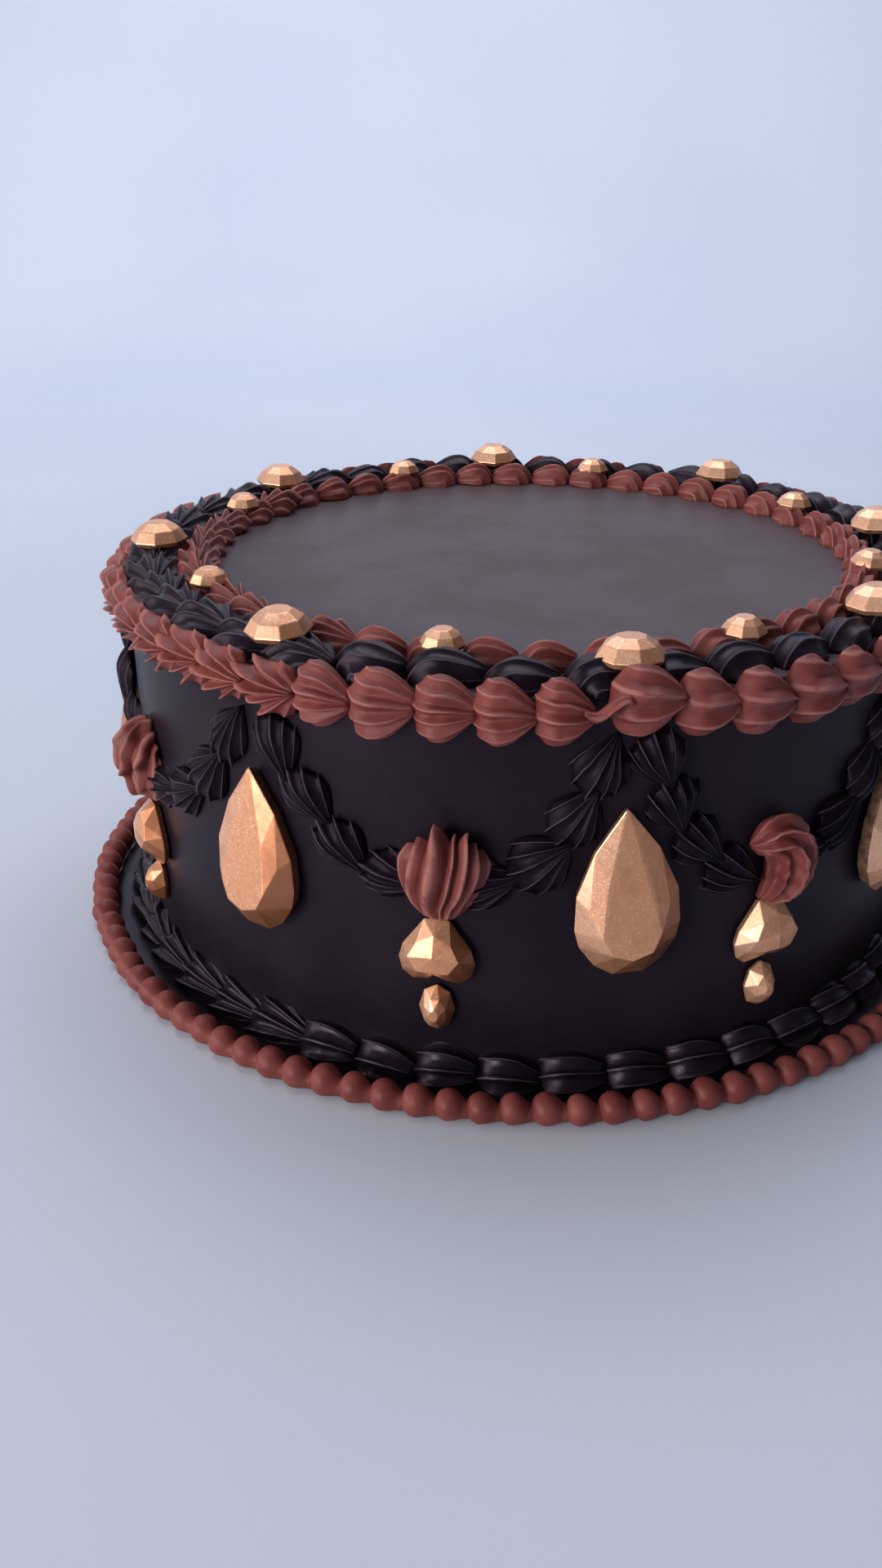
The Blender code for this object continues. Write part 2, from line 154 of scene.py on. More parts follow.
def wobble(points: Points, size: float, wave: float, rng: np.random.Generator) -> Points:
    """Gives smooth, uneven offsets, as soft icing has when it is piped by hand.

    Args:
        points: The points, one a row.
        size: How far a point may move, about.
        wave: The length of the longest wave.
        rng: The seeded source of the waves.

    Returns:
        An offset for each point.
    """
    offsets = np.zeros_like(points)
    for octave in range(4):
        direction = rng.normal(size=3)
        direction /= np.linalg.norm(direction)
        phase = points @ direction * (math.tau / (wave * 0.7**octave)) + rng.uniform(0, math.tau)
        offsets += np.sin(phase)[:, None] * rng.normal(size=3)
    return offsets * size / 4


def make_mesh(
    name: str, points: Iterable[Sequence[float]], faces: Iterable[Sequence[int]], ridge: Points
) -> bpy.types.Mesh:
    """Makes a closed, smooth mesh whose faces point outwards.

    Args:
        name: The mesh's name.
        points: Its vertices.
        faces: Its faces, as vertex numbers.
        ridge: How far each vertex is up a piped ridge, from 0 to 1, kept as an attribute.

    Returns:
        The mesh.
    """
    mesh = bpy.data.meshes.new(name)
    mesh.from_pydata([tuple(p) for p in points], [], [tuple(f) for f in faces])
    mesh.attributes.new("ridge", "FLOAT", "POINT").data.foreach_set("value", ridge.astype(np.float32))
    work = bmesh.new()
    work.from_mesh(mesh)
    bmesh.ops.recalc_face_normals(work, faces=work.faces)
    work.to_mesh(mesh)
    work.free()
    mesh.shade_smooth()
    return mesh


def tube_faces(rings: int, sides: int) -> list[tuple[int, ...]]:
    """Lists the faces of a closed tube whose two poles come after its last ring.

    Args:
        rings: How many rings of points it has.
        sides: How many points each ring has.

    Returns:
        The faces, as vertex numbers.
    """
    faces: list[tuple[int, ...]] = []
    last = (rings - 1) * sides
    for first in range(0, last, sides):
        for side in range(sides):
            after = (side + 1) % sides
            faces.append((first + side, first + after, first + sides + after, first + sides + side))
    for first, pole in ((0, last + sides), (last, last + sides + 1)):
        faces += [(first + side, first + (side + 1) % sides, pole) for side in range(sides)]
    return faces


def new_object(name: str, data: bpy.types.ID) -> bpy.types.Object:
    """Adds a mesh, a light or a camera to the scene as an object at the origin."""
    obj = bpy.data.objects.new(name, data)
    bpy.context.scene.collection.objects.link(obj)
    return obj


def settle(obj: bpy.types.Object, slot: str, nodes: Sequence[str]) -> bpy.types.Object:
    """Lets a finished piece ride on the cake and stand for its CAD nodes.

    Args:
        obj: The piece.
        slot: Not used.
        nodes: The CAD nodes that it replaces.

    Returns:
        The piece.
    """
    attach(obj, BODY)
    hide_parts(*nodes)
    log.info("%s: %d faces for %s", obj.name, len(obj.data.polygons), ", ".join(nodes[:2]))
    return obj


def set_plain(node: bpy.types.Node, values: Mapping[str, object]) -> None:
    """Sets values of a node that are the same all over the surface."""
    for name, value in values.items():
        node.inputs[name].default_value = value


class Graph:
    """Adds nodes to one node tree and links them."""

    def __init__(self, tree: bpy.types.NodeTree) -> None:
        """Keeps the tree that is added to."""
        self.tree = tree

    def feed(self, socket: bpy.types.NodeSocket, value: object) -> None:
        """Links a socket to the input, or sets the input's own value."""
        if isinstance(value, bpy.types.NodeSocket):
            self.tree.links.new(value, socket)
        else:
            socket.default_value = value

    def add(self, kind: str, inputs: Mapping | None = None, **settings: object) -> bpy.types.Node:
        """Adds a node.

        Args:
            kind: The node's type, such as ShaderNodeMath.
            inputs: Values or sockets for its inputs, by name or number.
            **settings: Values for the node's own properties.

        Returns:
            The node.
        """
        node = self.tree.nodes.new(kind)
        for name, value in settings.items():
            setattr(node, name, value)
        for key, value in (inputs or {}).items():
            self.feed(node.inputs[key], value)
        return node

    def maths(self, operation: str, first: object, second: object = 0.0) -> bpy.types.NodeSocket:
        """Adds a Math node and gives its result."""
        return self.add("ShaderNodeMath", {0: first, 1: second}, operation=operation).outputs[0]

    def ramp(
        self, value: object, low: float, high: float, to: tuple[float, float] = (0.0, 1.0)
    ) -> bpy.types.NodeSocket:
        """Maps low..high smoothly to another range and gives the result.

        Args:
            value: The value or socket to map.
            low: Where the first end of the range is reached.
            high: Where the second end of the range is reached.
            to: The two ends of the result.

        Returns:
            The mapped value's socket.
        """
        inputs = {"Value": value, "From Min": low, "From Max": high, "To Min": to[0], "To Max": to[1]}
        node = self.add("ShaderNodeMapRange", inputs, interpolation_type="SMOOTHSTEP")
        return node.outputs["Result"]

    def noise(
        self, place: object, scale: object, detail: float = 3.0, rough: float = 0.5
    ) -> bpy.types.NodeSocket:
        """Adds a noise texture and gives its value, from 0 to 1."""
        inputs = {"Vector": place, "Scale": scale, "Detail": detail, "Roughness": rough}
        return self.add("ShaderNodeTexNoise", inputs).outputs[0]

    def blend(self, share: object, first: object, second: object) -> bpy.types.NodeSocket:
        """Mixes two colours and gives the result."""
        colours = [(*c, 1.0) if isinstance(c, tuple) else c for c in (first, second)]
        node = self.add("ShaderNodeMix", {0: share, 6: colours[0], 7: colours[1]}, data_type="RGBA")
        return node.outputs[2]

    def bump(self, height: bpy.types.NodeSocket, strength: float, distance: float) -> bpy.types.NodeSocket:
        """Adds a Bump node and gives its normal."""
        inputs = {"Strength": strength, "Distance": distance, "Height": height}
        return self.add("ShaderNodeBump", inputs).outputs[0]

    def shared(
        self, tree: bpy.types.NodeTree, place: bpy.types.NodeSocket, values: Mapping[str, float]
    ) -> bpy.types.Node:
        """Adds a shared group that reads the Object coordinates.

        Args:
            tree: The group.
            place: The Object coordinates.
            values: The material's own values for the group's other inputs.

        Returns:
            The group's node.
        """
        node = self.add("ShaderNodeGroup", node_tree=tree)
        self.feed(node.inputs["Place"], place)
        set_plain(node, values)
        return node


# Shader groups that several finishes share.


def new_group(
    name: str, takes: Mapping[str, tuple[str, float]], gives: Mapping[str, str]
) -> tuple[Graph, bpy.types.Node, bpy.types.Node]:
    """Starts a shader node group with named inputs and outputs.

    Args:
        name: The group's name.
        takes: For each input, its socket type and first value.
        gives: For each output, its socket type.

    Returns:
        The graph to add to, the input node and the output node.
    """
    tree = bpy.data.node_groups.new(name, "ShaderNodeTree")
    for title, (kind, value) in takes.items():
        socket = tree.interface.new_socket(title, in_out="INPUT", socket_type=kind)
        if kind == "NodeSocketFloat":
            socket.default_value = value
    for title, kind in gives.items():
        tree.interface.new_socket(title, in_out="OUTPUT", socket_type=kind)
    graph = Graph(tree)
    return graph, graph.add("NodeGroupInput"), graph.add("NodeGroupOutput")


def make_icing_skin() -> bpy.types.NodeTree:
    """Makes the group for an icing's surface: fine grain, broad mottling and a few air holes."""
    takes = {
        "Place": ("NodeSocketVector", 0.0),
        "Grain": ("NodeSocketFloat", 1500.0),
        "Holes": ("NodeSocketFloat", 0.02),
    }
    gives = {"Height": "NodeSocketFloat", "Mottle": "NodeSocketFloat", "Hole": "NodeSocketFloat"}
    graph, start, end = new_group("icing_skin", takes, gives)
    place, grain = start.outputs["Place"], start.outputs["Grain"]
    fine = graph.noise(place, grain, 3.0)
    broad = graph.noise(place, graph.maths("DIVIDE", grain, 11.0), 3.0, 0.6)
    cells = graph.add("ShaderNodeTexVoronoi", {"Vector": place, "Scale": graph.maths("DIVIDE", grain, 4.0)})
    picked = graph.add("ShaderNodeSeparateColor", {0: cells.outputs["Color"]}).outputs[0]
    chosen = graph.maths("LESS_THAN", picked, start.outputs["Holes"])
    dip = graph.ramp(cells.outputs["Distance"], 0.1, 0.26, (1.0, 0.0))
    hole = graph.maths("MULTIPLY", chosen, dip)
    relief = graph.maths("ADD", graph.maths("MULTIPLY", fine, 0.35), graph.maths("MULTIPLY", broad, 0.65))
    graph.feed(end.inputs["Height"], graph.maths("SUBTRACT", relief, hole))
    graph.feed(end.inputs["Mottle"], graph.ramp(broad, 0.32, 0.68))
    graph.feed(end.inputs["Hole"], hole)
    return graph.tree


def make_dry_and_highlight_ridges() -> bpy.types.NodeTree:
    """Makes the group that finds the paler lines on piped ridges' crests: partly dried icing, partly a
    painted highlight where the crests catch the light.
    """
    takes = {
        "Place": ("NodeSocketVector", 0.0),
        "Ridge": ("NodeSocketFloat", 0.0),
        "Line": ("NodeSocketFloat", 0.8),
    }
    graph, start, end = new_group("dry_ridges", takes, {"Mask": "NodeSocketFloat"})
    patch = graph.ramp(graph.noise(start.outputs["Place"], 220.0, 4.0, 0.7), 0.25, 0.55)
    above = graph.maths("SUBTRACT", start.outputs["Ridge"], start.outputs["Line"])
    line = graph.ramp(above, 0.0, 0.2)
    graph.feed(end.inputs["Mask"], graph.maths("MULTIPLY", line, patch))
    return graph.tree


@dataclass
class Shades:
    """The shader groups that the finishes share, each built once."""

    skin: bpy.types.NodeTree
    ridges: bpy.types.NodeTree

    @classmethod
    def build(cls) -> "Shades":
        """Builds every group."""
        return cls(make_icing_skin(), make_dry_and_highlight_ridges())


def new_material(name: str) -> tuple[bpy.types.Material, Graph, bpy.types.Node, bpy.types.NodeSocket]:
    """Starts a Principled material that reads Object coordinates.

    Args:
        name: The material's name.

    Returns:
        The material, its graph, its Principled node and the coordinates' socket.
    """
    material = bpy.data.materials.new(name)
    material.use_nodes = True
    graph = Graph(material.node_tree)
    shader = material.node_tree.nodes["Principled BSDF"]
    place = graph.add("ShaderNodeTexCoord").outputs["Object"]
    return material, graph, shader, place


# Finishes.


@dataclass(frozen=True)
class CoatFinish:
    """Smooth dark chocolate coat: near black and satin, with faint smudges and fine specks, and a painted
    sheen that colours its flat top paler for the pale sky it reflects.
    """

    deep: Colour = (0.0105, 0.0066, 0.0115)
    worn: Colour = (0.0165, 0.0110, 0.0170)
    # Paler colour for the flat top: a painted sheen for the pale sky that it reflects.
    painted_top_sheen: Colour = (0.083, 0.060, 0.068)
    speck: Colour = (0.17, 0.14, 0.17)
    gloss: tuple[float, float] = (0.38, 0.48)
    ior: float = 1.235
    tint: Colour = (1.0, 0.76, 0.95)
    top_z: float = 91.0 * MM
    painted_sheen_depth: float = 0.4 * MM

    def material(self, shades: Shades) -> bpy.types.Material:
        """Builds the material."""
        material, graph, shader, place = new_material("dark_coat")
        skin = graph.shared(shades.skin, place, {"Grain": 900.0, "Holes": 0.0015})
        smudge = graph.ramp(graph.noise(place, 26.0, 5.0, 0.62), 0.36, 0.66)
        colour = graph.blend(smudge, self.deep, self.worn)
        height = graph.add("ShaderNodeSeparateXYZ", {0: place}).outputs[2]
        # Painted sheen: the top face, from top_z up, is coloured paler for the reflected pale sky.
        top = graph.ramp(height, self.top_z, self.top_z + self.painted_sheen_depth)
        colour = graph.blend(top, colour, self.painted_top_sheen)
        graph.feed(shader.inputs["Base Color"], graph.blend(skin.outputs["Hole"], colour, self.speck))
        graph.feed(shader.inputs["Roughness"], graph.ramp(smudge, 0.0, 1.0, self.gloss))
        graph.feed(shader.inputs["Normal"], graph.bump(skin.outputs["Height"], 0.25, 0.05 * MM))
        set_plain(shader, {"IOR": self.ior, "Specular Tint": (*self.tint, 1.0)})
        return material


@dataclass(frozen=True)
class PipedFinish:
    """Piped icing: mottled, satin, and paler along the ridges' crests, partly where they have dried and
    partly as a painted highlight where they catch the light.
    """

    name: str
    body: Colour
    shade: Colour
    # Pale colour of the crest lines: dried icing and painted highlight.
    crest_dry_and_highlight: Colour
    dry_and_highlight_line: float
    dry_and_highlight_share: float
    gloss: tuple[float, float]
    grain: float
    holes: float
    bump: float
    ior: float
    tint: Colour
    soft: float
    dry_rough: float = 0.15

    def material(self, shades: Shades) -> bpy.types.Material:
        """Builds the material."""
        material, graph, shader, place = new_material(self.name)
        skin = graph.shared(shades.skin, place, {"Grain": self.grain, "Holes": self.holes})
        ridge = graph.add("ShaderNodeAttribute", attribute_name="ridge").outputs["Fac"]
        crest_dry_and_highlight = graph.shared(shades.ridges, place, {"Line": self.dry_and_highlight_line})
        graph.feed(crest_dry_and_highlight.inputs["Ridge"], ridge)
        colour = graph.blend(skin.outputs["Mottle"], self.shade, self.body)
        # The crest lines are partly dried icing and partly a painted highlight where the crests catch the
        # light.
        share = graph.maths("MULTIPLY", crest_dry_and_highlight.outputs["Mask"], self.dry_and_highlight_share)
        colour = graph.blend(share, colour, self.crest_dry_and_highlight)
        # The air holes are darkened towards the shade colour: painted shade in the pits.
        hole = graph.maths("MULTIPLY", skin.outputs["Hole"], 0.8)
        graph.feed(shader.inputs["Base Color"], graph.blend(hole, colour, self.shade))
        rough = graph.ramp(skin.outputs["Mottle"], 0.0, 1.0, self.gloss)
        rough = graph.maths("ADD", rough, graph.maths("MULTIPLY", share, self.dry_rough))
        graph.feed(shader.inputs["Roughness"], rough)
        graph.feed(shader.inputs["Normal"], graph.bump(skin.outputs["Height"], self.bump, 0.12 * MM))
        set_plain(shader, {
            "IOR": self.ior, "Specular Tint": (*self.tint, 1.0), "Subsurface Weight": self.soft,
            "Subsurface Radius": (1.0, 0.35, 0.25), "Subsurface Scale": 1.5 * MM,
        })
        return material


MILK = PipedFinish(
    name="milk_icing",
    body=(0.222, 0.056, 0.050), shade=(0.155, 0.035, 0.031), crest_dry_and_highlight=(0.40, 0.17, 0.15),
    dry_and_highlight_line=0.72, dry_and_highlight_share=0.6, gloss=(0.42, 0.52), grain=1300.0, holes=0.012, bump=0.5,
    ior=1.37, tint=(1.0, 0.85, 0.84), soft=0.12,
)
DARK = PipedFinish(
    name="dark_piping",
    body=(0.0105, 0.0060, 0.0120), shade=(0.0045, 0.0024, 0.0050), crest_dry_and_highlight=(0.115, 0.088, 0.115),
    dry_and_highlight_line=0.78, dry_and_highlight_share=0.7, gloss=(0.34, 0.46), grain=1500.0, holes=0.01, bump=0.35,
    ior=1.34, tint=(0.95, 0.74, 1.0), soft=0.0,
)
GARLAND = replace(
    DARK, name="garland_icing", body=(0.0085, 0.0048, 0.0095), gloss=(0.36, 0.46), ior=1.2, dry_and_highlight_share=0.75
)
FOOT = replace(DARK, name="foot_icing", body=(0.0095, 0.0055, 0.0115), gloss=(0.30, 0.42), ior=1.4)


@dataclass(frozen=True)
class LustreFinish:
    """Copper-gold lustre dust over chocolate that shows bare at the rims. Facets facing the window's side are
    painted paler gold and facets facing away darker copper, as painted light, over real patches of thicker
    and thinner dust; the flakes on the paler facets get painted glints.
    """

    pale: Colour = (0.93, 0.51, 0.32)
    gold: Colour = (0.74, 0.335, 0.175)
    copper: Colour = (0.36, 0.135, 0.060)
    bright: Colour = (1.0, 0.72, 0.50)
    bare: Colour = (0.055, 0.020, 0.013)
    wall_radius: float = 103.5 * MM
    rim_depth: tuple[float, float] = (0.6 * MM, 1.3 * MM)
    wall_top: float = 85 * MM

    def material(self) -> bpy.types.Material:
        """Builds the material."""
        material, graph, shader, place = new_material("lustre_gold")
        # The dust attribute is partly painted light: paler gold on facets that face the window's side, darker
        # copper on facets that face away.
        dust = graph.add("ShaderNodeAttribute", attribute_name="dust").outputs["Fac"]
        patches = graph.ramp(graph.noise(place, 240.0, 4.0, 0.65), 0.25, 0.75, (-0.09, 0.09))
        dust = graph.maths("ADD", dust, patches)
        colour = graph.blend(graph.ramp(dust, 0.05, 0.5), self.copper, self.gold)
        colour = graph.blend(graph.ramp(dust, 0.5, 0.95), colour, self.pale)
        flakes = graph.add("ShaderNodeTexVoronoi", {"Vector": place, "Scale": 4000.0})
        flake = graph.add("ShaderNodeSeparateColor", {0: flakes.outputs["Color"]}).outputs[1]
        glint = graph.ramp(flake, 0.8, 0.93, (0.0, 0.8))
        glint = graph.maths("MULTIPLY", glint, graph.ramp(dust, 0.25, 0.75))
        colour = graph.blend(glint, colour, self.bright)
        missed = graph.ramp(graph.noise(place, 500.0, 3.0, 0.6), 0.3, 0.7, (0.5, 0.9))
        missed = graph.maths("MULTIPLY", self.rim(graph, place), missed)
        graph.feed(shader.inputs["Base Color"], graph.blend(missed, colour, self.bare))
        graph.feed(shader.inputs["Metallic"], graph.ramp(missed, 0.0, 1.0, (0.66, 0.0)))
        rough = graph.ramp(graph.noise(place, 1200.0, 3.0), 0.3, 0.7, (0.30, 0.43))
        graph.feed(shader.inputs["Roughness"], rough)
        grit = graph.noise(place, 1300.0, 1.0)
        graph.feed(shader.inputs["Normal"], graph.bump(grit, 0.3, 0.04 * MM))
        set_plain(shader, {"Coat Weight": 0.2, "Coat Roughness": 0.25})
        return material

    def rim(self, graph: Graph, place: bpy.types.NodeSocket) -> bpy.types.NodeSocket:
        """Finds the rims: under the top gems by face, and close to the wall by distance.

        Args:
            graph: The material's graph.
            place: The Object coordinates.

        Returns:
            The mask's socket.
        """
        under = graph.add("ShaderNodeAttribute", attribute_name="bare").outputs["Fac"]
        flat = {0: place, 1: (1.0, 1.0, 0.0)}
        level = graph.add("ShaderNodeVectorMath", flat, operation="MULTIPLY").outputs[0]
        away = graph.add("ShaderNodeVectorMath", {0: level}, operation="LENGTH").outputs["Value"]
        near, far = (self.wall_radius + depth for depth in self.rim_depth)
        close = graph.ramp(away, near, far, (1.0, 0.0))
        height = graph.add("ShaderNodeSeparateXYZ", {0: place}).outputs[2]
        close = graph.maths("MULTIPLY", close, graph.maths("LESS_THAN", height, self.wall_top))
        return graph.maths("MAXIMUM", under, close)


@dataclass(frozen=True)
class PaperFinish:
    """Pale seamless studio paper, with the faintest clouding."""

    light: Colour = (0.57, 0.625, 0.735)
    cloud: Colour = (0.53, 0.59, 0.71)

    def material(self) -> bpy.types.Material:
        """Builds the material."""
        material, graph, shader, place = new_material("studio_paper")
        clouds = graph.ramp(graph.noise(place, 2.4, 2.0), 0.3, 0.7)
        graph.feed(shader.inputs["Base Color"], graph.blend(clouds, self.cloud, self.light))
        set_plain(shader, {"Roughness": 0.9, "Specular IOR Level": 0.15})
        return material


# Forms of single piped pieces.


@dataclass(frozen=True)
class Shell:
    """One fluted shell. X runs from its blunt end to its tail, Z away from the surface.

    Lengths are in metres. The other fields are shares, of the length or of the local radius, but
    for the powers that set how sharp a ridge (`crisp`), an end (`nose`) or a taper is. With
    `fan_deg` above 0 it is an open fan that spreads that far to each side, and otherwise a round
    shell.
    """

    length: float
    half_width: float
    height: float
    ridges: int = 6
    groove: float = 0.22
    blunt: float = 0.4
    nose: float = 1.5
    tail: float = 0.1
    tail_height: float = 0.24
    tail_power: float = 0.95
    lip: float = 0.1
    crisp: float = 1.7
    ridge_spread: float = 0.2
    edge_fade: float = 0.6
    rim_share: float = 0.4
    open_end: float = 0.0
    pinch: float = 0.0
    fan_deg: float = 0.0
    fan_flank: float = 0.4
    sway: float = 0.1
    bend: float = 0.0
    twist: float = 0.0
    rough: float = 0.12 * MM
    rows: int = 22
    steps: int = 8

    def crest(self, place: Points) -> Points:
        """Gives the ridge height, 0 to 1, at places counted in ridges across the section."""
        away = 2 * np.abs(place - np.floor(place) - 0.5)
        away = (np.sqrt(away**2 + 0.0016) - 0.04) / (math.sqrt(1.0016) - 0.04)
        return (1 - np.clip(away, 0, 1)) ** self.crisp

    def section(self, rng: np.random.Generator) -> tuple[Points, Points, Points, Points]:
        """Lays the ridges out across the shell, each a little wider or higher than the next.

        Args:
            rng: The seeded source of the unevenness.

        Returns:
            For each step of the section, its angle, how high it stands, how far its lip stands out
            and how near it is to a ridge's line, from 0 to 1.
        """
        place = np.linspace(0, self.ridges, self.ridges * self.steps + 1)
        widths = rng.uniform(1 - self.ridge_spread, 1 + self.ridge_spread, self.ridges)
        edges = np.append(0, np.cumsum(widths)) / widths.sum()
        turn = np.radians(-90 + 180 * np.interp(place, np.arange(self.ridges + 1), edges))
        which = np.minimum(place.astype(int), self.ridges - 1)
        line = self.crest(place)
        crest = line * rng.uniform(0.75, 1.1, self.ridges)[which]
        lip = self.lip * crest**2 * rng.uniform(0.3, 1.6, self.ridges)[which]
        flat = np.clip(np.cos(turn), 0, 1) ** self.edge_fade
        return turn, 1 - (1 - crest) * flat, lip * flat, line

    def mesh(self, name: str, seed: int) -> bpy.types.Mesh:
        """Builds the shell as a closed mesh.

        Args:
            name: The mesh's name.
            seed: Sets the shell's own unevenness.

        Returns:
            The mesh, with its ridge attribute.
        """
        rng = np.random.default_rng(seed)
        turn, crest, lip, line = self.section(rng)
        x, y, z, base = (self.fan if self.fan_deg else self.round)(rng, turn, crest, lip)
        line = np.broadcast_to(line, x.shape)
        if self.open_end:
            inwards, narrowed = 0.45, 0.8
            x, y = np.vstack([x[0] + inwards * (base - x[0]), x]), np.vstack([narrowed * y[0], y])
            z, line = np.vstack([0 * z[0], z]), np.vstack([0 * line[0], line])
        grid = np.stack([x, y, z], axis=-1).reshape(-1, 3)
        end = np.array([[x.max(), y[-1].mean(), self.height * self.tail_height * 0.5], [base, 0, 0]])
        points = np.vstack([grid, end])
        move = wobble(points, self.rough, self.length * 0.7, rng)
        points = points + move * np.clip(points[:, 2:3] / (0.3 * self.height), 0, 1)
        ridge = np.append(line.reshape(-1), [0.3, 0.0])
        return make_mesh(name, points, self.faces(len(x), len(crest) - 1), ridge)

    def fan(self, rng: np.random.Generator, turn: Points, crest: Points, lip: Points) -> Skin:
        """Lays the skin out as an open fan, whose ridges run straight from the tail to the rim.

        Args:
            rng: The seeded source of the unevenness.
            turn: The angle of each step of the section.
            crest: How high each step stands.
            lip: How far each step's lip stands out.

        Returns:
            The skin's X, Y and Z, row by row from the rim, and the X of the middle of its underside.
        """
        highest, bowed, fullness, fade = 0.4, 0.2, 0.7, 0.4
        spread = turn * self.fan_deg / 90
        reach = self.length * (1 - self.fan_flank * (1 - np.cos(turn))) * (1 + lip)
        share = np.linspace(0, 1, self.rows)[:, None]
        reach = reach * (1 - share)
        x = self.length - reach * np.cos(spread)
        bow = 1 + bowed * np.sin(np.pi * share)
        y = reach * np.sin(spread) * bow + self.tail * self.half_width * np.sin(turn) * share
        y = y + self.half_width * self.sway * rng.uniform(-1, 1) * share**2
        rise = self.open_end + (1 - self.open_end) * np.sin(np.pi / 2 * np.clip(share / highest, 0, 1))
        fall = 1 - (1 - self.tail_height) * np.clip((share - highest) / (1 - highest), 0, 1) ** 1.4
        flute = 1 - self.groove * (1 - crest) * (1 - fade * share)
        z = self.height * np.cos(turn) ** fullness * flute * rise * fall
        return x, y, z, 0.6 * self.length

    def round(self, rng: np.random.Generator, turn: Points, crest: Points, lip: Points) -> Skin:
        """Lays the skin out as a rounded shell that swells from its blunt end and tapers to its tail.

        Args:
            rng: The seeded source of the unevenness.
            turn: The angle of each step of the section.
            crest: How high each step stands.
            lip: How far each step's lip stands out.

        Returns:
            The skin's X, Y and Z, row by row from the rim, and the X of the middle of its underside.
        """
        gather, fade, stretch, flattest, bend_wave = 1.5, 0.3, 0.05, 1e-4, 4.5
        widest = self.blunt * self.length
        reach = 1 - self.groove * self.rim_share * (1 - crest) + lip
        face = np.clip(np.cos(turn), flattest, 1) ** self.nose
        rim = widest - widest * face * reach
        along = np.linspace(0, 1, self.rows + 1)[:-1, None] ** gather
        x = rim + (self.length - rim) * along
        front = np.clip((widest - x) / (widest * face * reach), 0, 1)
        back = np.clip((x - widest) / (self.length - widest), 0, 1)
        taper = np.cos(np.pi / 2 * back) ** self.tail_power
        turn = turn + self.twist * np.cos(turn) * np.cos(np.pi * x / self.length)
        depth = self.rim_share + (1 - self.rim_share) * (1 - front)
        flute = 1 - self.groove * (1 - crest) * (1 - fade * back) * depth
        y = self.half_width * np.sin(turn) * flute * (self.tail + (1 - self.tail) * taper)
        y = y * (1 + (0.6 * lip - self.pinch) * front**2)
        bulb = self.open_end + (1 - self.open_end) * (1 - front**1.8) ** 0.6
        taper = self.tail_height + (1 - self.tail_height) * taper
        z = self.height * np.cos(turn) * flute * taper * bulb
        y = y + self.half_width * (self.sway * rng.uniform(-1, 1) * back**2)
        y = y + self.half_width * self.bend * np.sin(bend_wave * x / self.length + 0.5)
        x = x + stretch * self.length * rng.uniform(-1, 1) * np.sin(turn) * np.sin(np.pi * along)
        return x, y, z, widest

    @staticmethod
    def faces(rows: int, count: int) -> list[tuple[int, ...]]:
        """Lists the faces of the skin, of the tail's tip and of the flat underside.

        Args:
            rows: How many rows of points the skin has, from its blunt end to its tail.
            count: How many steps the section has.

        Returns:
            The faces, as vertex numbers.
        """
        wide = count + 1
        tip, base = rows * wide, rows * wide + 1
        faces: list[tuple[int, ...]] = []
        for row in range(rows - 1):
            for step in range(count):
                first = row * wide + step
                faces.append((first, first + 1, first + wide + 1, first + wide))
        last = (rows - 1) * wide
        faces += [(last + step, last + step + 1, tip) for step in range(count)]
        edge = list(range(wide)) + [row * wide + count for row in range(1, rows)]
        edge += [tip] + [row * wide for row in range(rows - 1, 0, -1)]
        faces += [(a, b, base) for a, b in zip(edge, edge[1:] + edge[:1])]
        return faces


@dataclass(frozen=True)
class Curl:
    """A fluted strand that curls over in the plane of the wall, from its tail to a blunt end.

    Its two edges are given as (right, up) points in millimetres. The strand narrows to nothing over
    the last `closing` share of its length.
    """

    inner: Edge
    outer: Edge
    height: float
    ridges: int = 6
    groove: float = 0.3
    crisp: float = 1.5
    closing: float = 0.14
    rough: float = 0.25 * MM
    wave: float = 7.0 * MM
    rows: int = 56
    steps: int = 8

    def edges(self) -> tuple[Points, Points, Points]:
        """Reads smooth curves through the edges' points.

        Returns:
            For each row, how far along the strand it is, and its inner and its outer end in metres.
        """
        knots = np.linspace(0, 1, len(self.inner))
        share = np.linspace(0, 1, self.rows)
        inner, outer = (
            np.stack([smooth_curve(knots, np.array(v) * MM, share) for v in zip(*edge)], axis=1)
            for edge in (self.inner, self.outer)
        )
        return share, inner, outer

    def mesh(self, name: str, seed: int) -> bpy.types.Mesh:
        """Builds the curl: X runs down, Y to the right and Z away from the wall.

        Args:
            name: The mesh's name.
            seed: Sets the curl's own unevenness.

        Returns:
            The mesh, with its ridge attribute.
        """
        rng = np.random.default_rng(seed)
        share, inner, outer = self.edges()
        line, half = (inner + outer) / 2, (outer - inner) / 2
        width = np.linalg.norm(half, axis=1)
        close = np.sqrt(np.clip(1 - ((share - 1 + self.closing) / self.closing).clip(0, 1) ** 2, 0.0004, 1))
        place = np.linspace(0, self.ridges, self.ridges * self.steps + 1)
        turn = np.radians(-90 + 180 * place / self.ridges)
        which = np.minimum(place.astype(int), self.ridges)
        crest = Shell(1, 1, 1, crisp=self.crisp).crest(place) * rng.uniform(0.75, 1.1, self.ridges + 1)[which]
        flute = 1 - self.groove * (1 - crest)
        across = close[:, None] * np.sin(turn) * flute
        up = self.height * (np.sqrt(width / width.max()) * close)[:, None] * np.cos(turn) * flute
        flat = line[:, None, :] + half[:, None, :] * across[:, :, None]
        grid = np.stack([flat[:, :, 1] * -1, flat[:, :, 0], up], axis=-1).reshape(-1, 3)
        ends = np.array([[-line[0, 1], line[0, 0], 0.2 * MM], [-line[-1, 1], line[-1, 0], 0.3 * MM]])
        points = np.vstack([grid, ends])
        move = wobble(points, self.rough, self.wave, rng)
        points = points + move * np.clip(points[:, 2:3] / (3 * MM), 0, 1)
        ridge = np.append(np.tile(crest, self.rows), [0, 0])
        return make_mesh(name, points, tube_faces(self.rows, len(place)), ridge)


